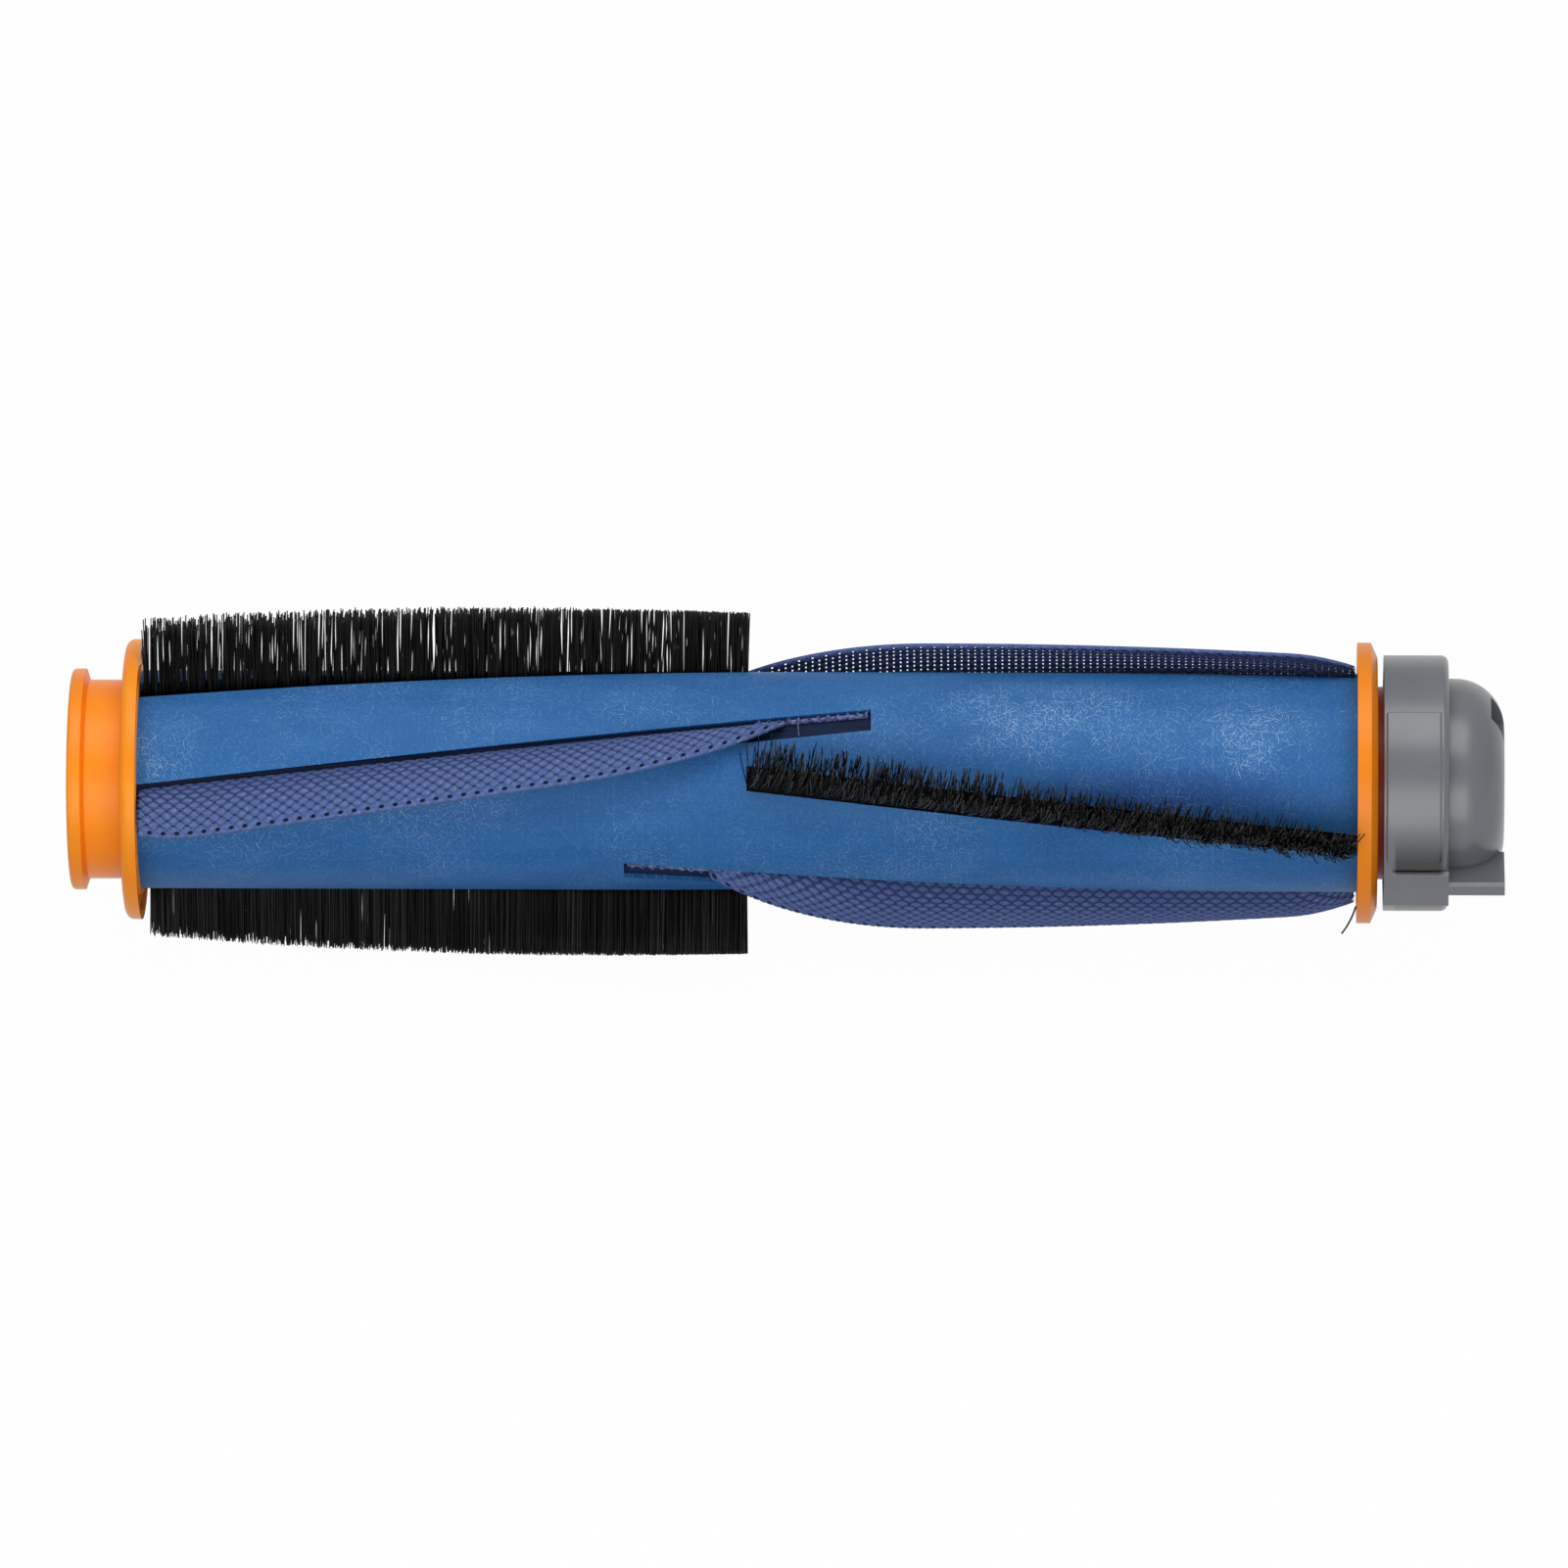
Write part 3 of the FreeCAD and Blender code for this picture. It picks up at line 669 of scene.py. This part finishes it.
def flap_line(from_tip, stand, end_reach, knee):
    """Root, knee and tip of the folded cloth at a distance from its inner tip, and its root's thickness."""
    inner = 1 - (1 - min(from_tip / rise_length, 1)) ** 2
    outer = 1 - (1 - min((flap_length - from_tip) / fall_length, 1)) ** 2
    reach = stand * (least_reach + (1 - least_reach) * inner) * (end_reach + (1 - end_reach) * outer)
    twisted = max(0, 1 - from_tip / twist_length) ** 2
    radius = core_radius + tip_height
    lean = Vector((radius * math.sin(tip_lean), radius * math.cos(tip_lean) - core_radius))
    tip = lean * reach + Vector((slot_lip * twisted, core_radius))
    root = Vector((slot_lip * twisted, bead_top + bead_gap))
    bend = Vector((slot_lip * twisted + knee[0] * reach, core_radius + knee[1] * reach))
    return root, bend, tip, root_thickness - twist_thinning * twisted


def folded_section(from_tip, stand, end_reach, knee, press, fold_thickness, bends=20, fold_steps=6):
    """Points, outward directions and distances from the fold, from one sewn edge to the other."""
    root, knee, tip, thickness = flap_line(from_tip, stand, end_reach, knee)
    line, run = [], [0.0]
    for i in range(bends + 1):
        t = i / bends
        point = root * (1 - t) ** 2 + knee * 2 * t * (1 - t) + tip * t ** 2
        along = ((knee - root) * (1 - t) + (tip - knee) * t).normalized()
        loose = (1 - t) ** press
        half_apart = (thickness * loose + fold_thickness * (1 - loose)) / 2 - cloth_inset
        line.append((point, Vector((along.y, -along.x)), half_apart))
    for (a, *_), (b, *_) in zip(line, line[1:]):
        run.append(run[-1] + (b - a).length)
    point, through, apart = line[-1]
    turn = math.pi * apart / 2
    over = [(p + n * h, n, turn + run[-1] - r) for (p, n, h), r in zip(line, run)]
    under = [(p - n * h, -n, r - run[-1] - turn) for (p, n, h), r in zip(line, run)]
    fold = []
    for i in range(fold_steps):
        share = (i + 1) / (fold_steps + 1)
        outward = along * math.sin(math.pi * share) - through * math.cos(math.pi * share)
        fold.append((point + outward * apart, outward, turn * (2 * share - 1)))
    return under + fold + over[::-1]


print("section points:", len(folded_section(40, 1.0, 1.0, soft_knee, 1, 0.7)))

# %% The folded sheet as a mesh with a flat UV map
tip_steps, run_steps, tip_crowding, slip_blend = 20, 40, 1.3, 0.5


def folded_sheet(name, half, middle_roll, stand, end_reach, knee, press, fold, slip, shift):
    """Smooth sheet with the flat cloth as its UV map, and the cloth's greatest width and flat area."""
    stations = [rise_length * (i / tip_steps) ** tip_crowding for i in range(tip_steps)]
    stations += [rise_length + (flap_length - rise_length) * i / run_steps for i in range(run_steps + 1)]
    places, normals, flats, widths = [], [], [], []
    for from_tip in stations:
        section = folded_section(from_tip, stand, end_reach, knee, press, fold)
        x = inward(half, half_length + flap_overrun - from_tip)
        turn = strip_roll(half, middle_roll, x)
        for point, direction, s in section:
            slipped = from_tip + slip * CELL * min(1, max(0, -s / slip_blend))
            places.append(at(x, turn, *point))
            normals.append(at(0, turn, *direction) / MM)
            moved = s + shift[0] + shift[1] * (from_tip / flap_length) ** 2
            flats.append((slipped / flap_length, 0.5 + moved / (2 * CLOTH_HALF_WIDTH)))
        widths.append(2 * section[-1][2])
    pairs = zip(stations, stations[1:], widths, widths[1:])
    area = sum((b - a) * (first + second) / 2 for a, b, first, second in pairs)
    wide = len(section)
    faces = [(i * wide + j, i * wide + j + 1, (i + 1) * wide + j + 1, (i + 1) * wide + j)
             for i in range(len(stations) - 1) for j in range(wide - 1)]
    mesh = bpy.data.meshes.new(name)
    mesh.from_pydata(places, [], faces)
    layer = mesh.uv_layers.new(name="cut")
    for corner, loop in zip(layer.data, mesh.loops):
        corner.uv = flats[loop.vertex_index]
    direction = mesh.attributes.new("outward", "FLOAT_VECTOR", "POINT")
    direction.data.foreach_set("vector", [v for normal in normals for v in normal])
    return mesh, max(widths) * MM, area * MM * MM


print("sheet ready")

# %% [markdown]
# The knit is a bed of small raised grains, each row half a step from the next, with pits and pinholes between
# neighbours. Oblong cells with a hole in the middle tile it. Beside the fold every second hole is larger, and
# on the fold itself the cloth closes up and is smoother. The top flap has wider holes than the other three.
# The same formula lifts the grains in the mesh and colours them in the material.

# %% One cell of the net
RIM = 8


def cell(name, hole_wide, hole_high, lip_height=0.0):
    """Oblong of cloth with a hole whose lip turns in."""
    rim = [(math.cos(a), math.sin(a)) for a in (2 * math.pi * i / RIM for i in range(RIM))]
    edge = [(CELL / 2 * c / max(abs(c), abs(s)), ROW / 2 * s / max(abs(c), abs(s))) for c, s in rim]
    lip = [(hole_wide * c, hole_high * s) for c, s in rim]
    middle = [((x0 + x1) / 2, (y0 + y1) / 2) for (x0, y0), (x1, y1) in zip(edge, lip)]
    places = [Vector((x, y, z)) * MM
              for ring, z in ((edge, CLOTH), (middle, CLOTH), (lip, lip_height)) for x, y in ring]
    faces = []
    for start in (0, RIM):
        for i in range(RIM):
            near, following = start + i, start + (i + 1) % RIM
            faces.append((near, following, following + RIM, near + RIM))
    mesh = bpy.data.meshes.new(name)
    mesh.from_pydata(places, [], faces)
    piece = bpy.data.objects.new(name, mesh)
    scene.collection.objects.link(piece)
    return piece


cells = {"Open Cell": cell("open_cell", 0.125, 0.15), "Pin Cell": cell("pin_cell", 0.08, 0.08),
         "Dot Cell": cell("dot_cell", 0.17, 0.16), "Shut Cell": cell("shut_cell", 0.02, 0.02, CLOTH)}
print("cell faces:", [len(piece.data.polygons) for piece in cells.values()])

# %% How high the knit stands
grain_long, grain_wide = 0.8, 0.46


def squared_distance(tree, along, aside):
    return plus(tree, times(tree, along, along), times(tree, aside, aside))


def from_site(tree, flat, step):
    """Squared distance from the nearest crossing of the staggered rows, one step along for those between."""
    x, y, _ = parts(tree, flat)
    u = plus(tree, calc(tree, "DIVIDE", x, CELL * MM), step)
    v = plus(tree, calc(tree, "DIVIDE", y, ROW * MM), 0.5)
    halves = [times(tree, calc(tree, sign, u, v), 0.5) for sign in ("ADD", "SUBTRACT")]
    p, q = (minus(tree, half, calc(tree, "ROUND", half)) for half in halves)
    along = calc(tree, "DIVIDE", plus(tree, p, q), grain_long)
    aside = calc(tree, "DIVIDE", minus(tree, p, q), grain_wide)
    return squared_distance(tree, along, aside)


def grain(tree, flat):
    """How high the knit stands at a place on the flat cloth: 1 on a grain's crest, 0 between grains."""
    crest = ease(tree, from_site(tree, flat, 0.0), 1.5, 0.45)
    pit = ease(tree, from_site(tree, flat, 1.0), 0.55, 0.05)
    from_fold = calc(tree, "ABSOLUTE", parts(tree, flat)[1])
    smooth = ease(tree, from_fold, 6.5 * MM, 2.0 * MM, 0.2, 0.75)
    pitted = times(tree, pit, ease(tree, from_fold, 0.9 * MM, 1.3 * MM))
    return minus(tree, calc(tree, "MAXIMUM", crest, smooth), times(tree, pitted, smooth))


def dots(tree, flat):
    """Mask of the larger holes beside the fold."""
    x, y, _ = parts(tree, flat)
    along = calc(tree, "PINGPONG", plus(tree, calc(tree, "DIVIDE", x, CELL * MM), 0.5), 1.0)
    aside = minus(tree, calc(tree, "DIVIDE", calc(tree, "ABSOLUTE", y), ROW * MM), 1.0)
    return ease(tree, squared_distance(tree, along, aside), 0.26, 0.08)


print("knit ready")

# %% Geometry tree of the mesh net
TINY = 0.01 * MM
net_tree, given, result = new_tree(
    "mesh net", Int=("Columns", "Rows"), Object=("Open Cell", "Dot Cell", "Shut Cell"), Bool=("Mirrored",),
    Float=("Cell Length", "Cell Width", "Relief", "Cloth Length", "Cloth Width"), Material=("Finish",))
tree = net_tree
grid = wire(tree, "GeometryNodeMeshGrid", {
    "Vertices X": given["Columns"], "Vertices Y": given["Rows"],
    "Size X": times(tree, minus(tree, given["Columns"], 1.0), given["Cell Length"]),
    "Size Y": times(tree, minus(tree, given["Rows"], 1.0), given["Cell Width"])})
x, y, _ = parts(tree, position(tree))
column = calc(tree, "DIVIDE", x, given["Cell Length"])
row = calc(tree, "ABSOLUTE", calc(tree, "DIVIDE", y, given["Cell Width"]))
odd = calc(tree, "GREATER_THAN", calc(tree, "FLOORED_MODULO", column, 2.0), 1.0)
plain = calc(tree, "GREATER_THAN", row, 1.5)
dotted = times(tree, minus(tree, calc(tree, "GREATER_THAN", row, 0.5), plain), odd)
shut = minus(tree, minus(tree, 1.0, plain), dotted)
laid = add(tree, "GeometryNodeJoinGeometry")
for socket, chosen in (("Open Cell", plain), ("Dot Cell", dotted), ("Shut Cell", shut)):
    kind = add(tree, "GeometryNodeObjectInfo", {"Object": given[socket]}).outputs["Geometry"]
    put = {"Points": grid, "Selection": chosen, "Instance": kind}
    tree.links.new(wire(tree, "GeometryNodeInstanceOnPoints", put), laid.inputs[0])
net = wire(tree, "GeometryNodeRealizeInstances", {0: laid.outputs[0]})
net = wire(tree, "GeometryNodeMergeByDistance", {"Geometry": net, "Distance": TINY})

# %% Geometry tree of the mesh net, carried onto the folded sheet
x, y, thick = parts(tree, position(tree))
flat = joined(tree, plus(tree, calc(tree, "DIVIDE", x, given["Cloth Length"]), 0.5),
              plus(tree, calc(tree, "DIVIDE", y, given["Cloth Width"]), 0.5))
net = stored(tree, net, "flat", position(tree), "FLOAT_VECTOR")


def sampled(value):
    """What the sheet has at the same place of the flat cloth, and whether there is any."""
    put = {"Mesh": given["Geometry"], "Value": value, "Sample UV": flat,
           "UV Map": recalled(tree, "cut", "FLOAT_VECTOR")}
    return add(tree, "GeometryNodeSampleUVSurface", put, data_type="FLOAT_VECTOR").outputs


onto, found = sampled(position(tree))
outward, _ = sampled(recalled(tree, "outward", "FLOAT_VECTOR"))
outer_side = calc(tree, "GREATER_THAN", thick, TINY)
crest = times(tree, times(tree, grain(tree, position(tree)), outer_side), given["Relief"])
put = {0: outward, "Scale": plus(tree, thick, crest)}
lift = wire(tree, "ShaderNodeVectorMath", put, operation="SCALE")
there = wire(tree, "ShaderNodeVectorMath", {0: onto, 1: lift})
missed = wire(tree, "FunctionNodeBooleanMath", {0: found}, operation="NOT")
net = stored(tree, net, "missed", missed, "BOOLEAN")
net = wire(tree, "GeometryNodeSetPosition", {"Geometry": net, "Position": there})
put = {"Geometry": net, "Selection": recalled(tree, "missed", "BOOLEAN")}
net = wire(tree, "GeometryNodeDeleteGeometry", put, domain="POINT")
net = wire(tree, "GeometryNodeFlipFaces", {"Mesh": net, "Selection": given["Mirrored"]})
net = wire(tree, "GeometryNodeSetShadeSmooth", {"Geometry": net})
dressed(tree, net, given, result)

# %% [markdown]
# The cloth's colour follows the knit: pale yarn on the grains, with painted shade between them and round the
# larger holes beside the fold. Painted shade also darkens it near the slot, which shades it, and more on its
# under side, which lies in shade.

# %% Finish of the mesh
mesh_blue, tree, shader = new_finish(
    "mesh_blue", Specular_IOR_Level=0.15, Roughness=0.75,
    Sheen_Weight=0.15, Sheen_Roughness=0.5, Sheen_Tint=tint(150, 160, 215))
knit = add(tree, "ShaderNodeAttribute", attribute_name="flat").outputs["Vector"]
crest = grain(tree, knit)
put = {"Vector": knit, "Scale": 1700.0, "Distortion": 3.0, "Detail": 2.0, "Detail Scale": 2.0}
wave = add(tree, "ShaderNodeTexWave", put, wave_type="BANDS", bands_direction="DIAGONAL")
yarn = wave.outputs["Fac"]
fuzz = noise(tree, knit, 1900, 5.0, 0.7)
thread = mixed(tree, yarn, tint(68, 89, 140), tint(96, 117, 171))
thread = mixed(tree, ease(tree, fuzz, 0.5, 0.75, 0.0, 0.7), thread, tint(140, 158, 204))
_, side, _ = parts(tree, knit)
# Painted shade near the slot, which shades the cloth there.
slot_shade = ease(tree, side, 4.0 * MM, 8.0 * MM, 0.0, 0.5)
thread = mixed(tree, slot_shade, thread, tint(46, 60, 112))
# Painted shade between the grains: where the knit is low, the colour goes dark.
cloth = mixed(tree, crest, tint(40, 51, 94), thread)
# Painted shade on the cloth's under side, which lies in shade.
under = ease(tree, side, -0.5 * MM, -1.0 * MM, 0.0, 0.75)
cloth = mixed(tree, under, cloth, tint(16, 22, 50))
# Painted shade round the larger holes beside the fold.
feed(tree, shader, Base_Color=mixed(tree, dots(tree, knit), cloth, tint(26, 34, 66)))
relief = plus(tree, times(tree, crest, 2.0), plus(tree, yarn, fuzz))
bumped(tree, shader, relief, 0.06 * MM, 0.6)
print("mesh finish nodes:", len(tree.nodes))

# %% Sew the four flaps
for name, half, _, roll in strips:
    sheet, width, area = folded_sheet(f"folded_{name}", half, roll, *flap_set[name])
    open_cell = cells["Open Cell" if name == "bearing_1" else "Pin Cell"]
    piece = grown(f"mesh_net_{name}", net_tree, {
        **cells, "Open Cell": open_cell, "Columns": COLUMNS, "Rows": ROWS, "Cell Length": CELL * MM,
        "Cell Width": ROW * MM, "Relief": GRAIN * MM, "Cloth Length": flap_length * MM,
        "Cloth Width": 2 * CLOTH_HALF_WIDTH * MM, "Mirrored": half == "drive", "Finish": mesh_blue}, sheet)
    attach(piece, "roller")
    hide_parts(f"mesh_flap_{name}")
    print(f"flat cloth {width / MM:.1f} by {flap_length:.1f} mm, {area * 1e6:.0f} square mm")
for helper in cells.values():
    bpy.data.objects.remove(helper)

# %% [markdown]
# ## Stitching on the beads
# Past the flap's inner tip its sewn edge runs on in the slot as a narrow ribbon, held to the bead by an
# overlock stitch. A zigzag is a straight line whose points step left and right in turn, so Geometry Nodes
# makes it from a resampled line, sweeps the ribbon along the same line, and the wrap group lays both on the
# bead.

# %% Geometry tree of the overlock stitch
stitch_tree, given, result = new_tree(
    "overlock stitch", Int=("Steps",), Material=("Finish",),
    Float=("Start", "End", "Across", "Swing", "Height", "Thread Radius", "Ribbon Radius", *WRAP_INPUTS))
tree = stitch_tree
ends = {end: joined(tree, given[end], given["Across"], given["Height"]) for end in ("Start", "End")}
line = wire(tree, "GeometryNodeCurvePrimitiveLine", ends)
line = wire(tree, "GeometryNodeResampleCurve", {"Curve": line, "Count": given["Steps"]})
index = wire(tree, "GeometryNodeInputIndex")
side = calc(tree, "MULTIPLY_ADD", calc(tree, "MODULO", index, 2.0), 2.0, -1.0)
wander = drawn(tree, 0.6, 1.2, 3)
aside = times(tree, times(tree, side, wander), given["Swing"])
put = {"Geometry": line, "Offset": joined(tree, y=aside, z=given["Ribbon Radius"])}
zigzag = wire(tree, "GeometryNodeSetPosition", put)
both = add(tree, "GeometryNodeJoinGeometry")
for path_line, radius in ((zigzag, "Thread Radius"), (line, "Ribbon Radius")):
    tree.links.new(swept(tree, path_line, given[radius], 8), both.inputs[0])
sewn = wire(tree, "GeometryNodeRealizeInstances", {0: wrapped(tree, both.outputs[0], given)})
dressed(tree, sewn, given, result)

# %% Stitch the beads
stitch_start, stitch_end_gap, stitch_rise = 1, 0.5, 0.2
stitch_violet, tree, shader = new_finish("stitch_violet", Specular_IOR_Level=0.2, Roughness=0.65)
twist = ease(tree, noise(tree, object_place(tree), 1800, 2.0), 0.35, 0.65)
feed(tree, shader, Base_Color=mixed(tree, twist, tint(50, 60, 106), tint(120, 130, 178)))
for name, half, _, roll in strips:
    start = inward(half, half_length + stitch_start)
    end = inward(half, flap_slot_length - stitch_end_gap)
    piece = grown(f"overlock_{name}", stitch_tree, {
        **wrap_values(half, roll), "Start": start * MM, "End": end * MM, "Steps": 24, "Across": 1.05 * MM,
        "Swing": 0.42 * MM, "Height": (bead_top + stitch_rise) * MM, "Thread Radius": 0.1 * MM,
        "Ribbon Radius": 0.36 * MM, "Finish": stitch_violet})
    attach(piece, "roller")

# %% [markdown]
# ## Stray fibres
# A used brush sheds. The photograph shows a loose bristle at the right flange, another across its rim, a
# stray one at each side of the middle and a loose thread over a bead. Each is one curve through three points,
# given as station, height in the picture and nearness to the camera.

# %% Geometry tree of a stray fibre
CURVE_POINTS = ("Start", "Middle", "End")
fibre_tree, given, result = new_tree(
    "stray fibre", Vector=CURVE_POINTS, Float=("Radius",), Material=("Finish",))
tree = fibre_tree
put = {"Resolution": 10, **{socket: given[socket] for socket in CURVE_POINTS}}
curve = wire(tree, "GeometryNodeCurveQuadraticBezier", put)
dressed(tree, swept(tree, curve, given["Radius"], 6), given, result)

# %% The stray fibres
strays = {
    "flange_bristle": (bristle_black, 0.13, (179.4, -17.2, 4.0), (178.7, -19.4, 5.0), (177.4, -21.0, 5.5)),
    "rim_bristle": (bristle_black, 0.07, (179.2, -8.6, 17.0), (179.7, -8.0, 18.6), (180.5, -7.1, 18.4)),
    "lower_bristle": (bristle_black, 0.06, (94.2, -14.6, 0.3), (94.4, -19.0, 0.2), (94.3, -23.0, 0.1)),
    "upper_bristle": (bristle_black, 0.06, (93.7, 4.0, 15.2), (94.0, 2.0, 15.8), (94.7, -0.4, 15.3)),
    "loose_thread": (stitch_violet, 0.08, (102.0, 9.4, 12.2), (101.6, 8.4, 13.6), (101.9, 6.3, 13.8))}
for name, (finish, radius, *points) in strays.items():
    places = [at(x, rest_angle, height, near) for x, height, near in points]
    piece = grown(f"stray_{name}", fibre_tree, {
        **dict(zip(CURVE_POINTS, places)), "Radius": radius * MM, "Finish": finish})
    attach(piece, "roller")

# %% [markdown]
# ## Floor and light
# The photograph is a plain product shot: a white sweep and large soft lamps, with hardly a shadow. The world
# gives most of the light, and two soft lamps give the roundness and the pale gleam on the orange and grey
# plastic. For the eye and for mirrors the floor is nearly white, but it keeps the roller's shadow.

# %% World
sky_light, sky_shown = 0.4, 0.7


def seen_rays(tree):
    """One for what the eye, mirrors and clear things see, nought for what gives light."""
    path = add(tree, "ShaderNodeLightPath").outputs
    passed_on = calc(tree, "MAXIMUM", path["Is Glossy Ray"], path["Is Transmission Ray"])
    return calc(tree, "MAXIMUM", path["Is Camera Ray"], passed_on)


world = bpy.data.worlds.new("studio")
scene.world = world
world.use_nodes = True
sky = world.node_tree
background = sky.nodes["Background"]
background.inputs["Color"].default_value = (1, 1, 1, 1)
feed(sky, background, Strength=calc(sky, "MULTIPLY_ADD", seen_rays(sky), sky_shown - sky_light, sky_light))
print("world light:", sky_light)

# %% Floor
floor_half, floor_grey, floor_glow, glow_share = 4, 0.3, 1.04, 0.94
floor_white = bpy.data.materials.new("floor_white")
floor_white.use_nodes = True
tree = floor_white.node_tree
tree.nodes.clear()
paper = wire(tree, "ShaderNodeBsdfDiffuse", {"Color": (floor_grey, floor_grey, floor_grey, 1)})
glow = wire(tree, "ShaderNodeEmission", {"Color": (1, 1, 1, 1), "Strength": floor_glow})
pale = wire(tree, "ShaderNodeMixShader", {0: glow_share, 1: paper, 2: glow})
shown = wire(tree, "ShaderNodeMixShader", {0: seen_rays(tree), 1: paper, 2: pale})
add(tree, "ShaderNodeOutputMaterial", {0: shown})

ground = min(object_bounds()[0].z, cad_box[0][2])
corners = [(x * floor_half, y * floor_half, ground) for x, y in ((-1, -1), (1, -1), (1, 1), (-1, 1))]
floor = bpy.data.objects.new("floor", bpy.data.meshes.new("floor"))
floor.data.from_pydata(corners, [], [(0, 1, 2, 3)])
floor.data.materials.append(floor_white)
scene.collection.objects.link(floor)
print("floor at", round(ground, 5))

# %% Soft lamps
lamp_target = Vector((0.1, 0, 0))


def softbox(name, place, width, depth, power):
    """Soft lamp that faces the roller."""
    lamp = bpy.data.lights.new(name, "AREA")
    lamp.shape, lamp.size, lamp.size_y, lamp.energy = "RECTANGLE", width, depth, power
    holder = bpy.data.objects.new(name, lamp)
    holder.location = place
    holder.rotation_mode = "QUATERNION"
    holder.rotation_quaternion = (lamp_target - Vector(place)).to_track_quat("-Z", "Y")
    scene.collection.objects.link(holder)


softbox("top_softbox", (0.1, 0.2, 1.1), 1.3, 0.8, 7.6)
softbox("front_softbox", (0.1, -0.95, 0.45), 1.3, 0.7, 6.2)
scene.view_settings.view_transform = "Standard"
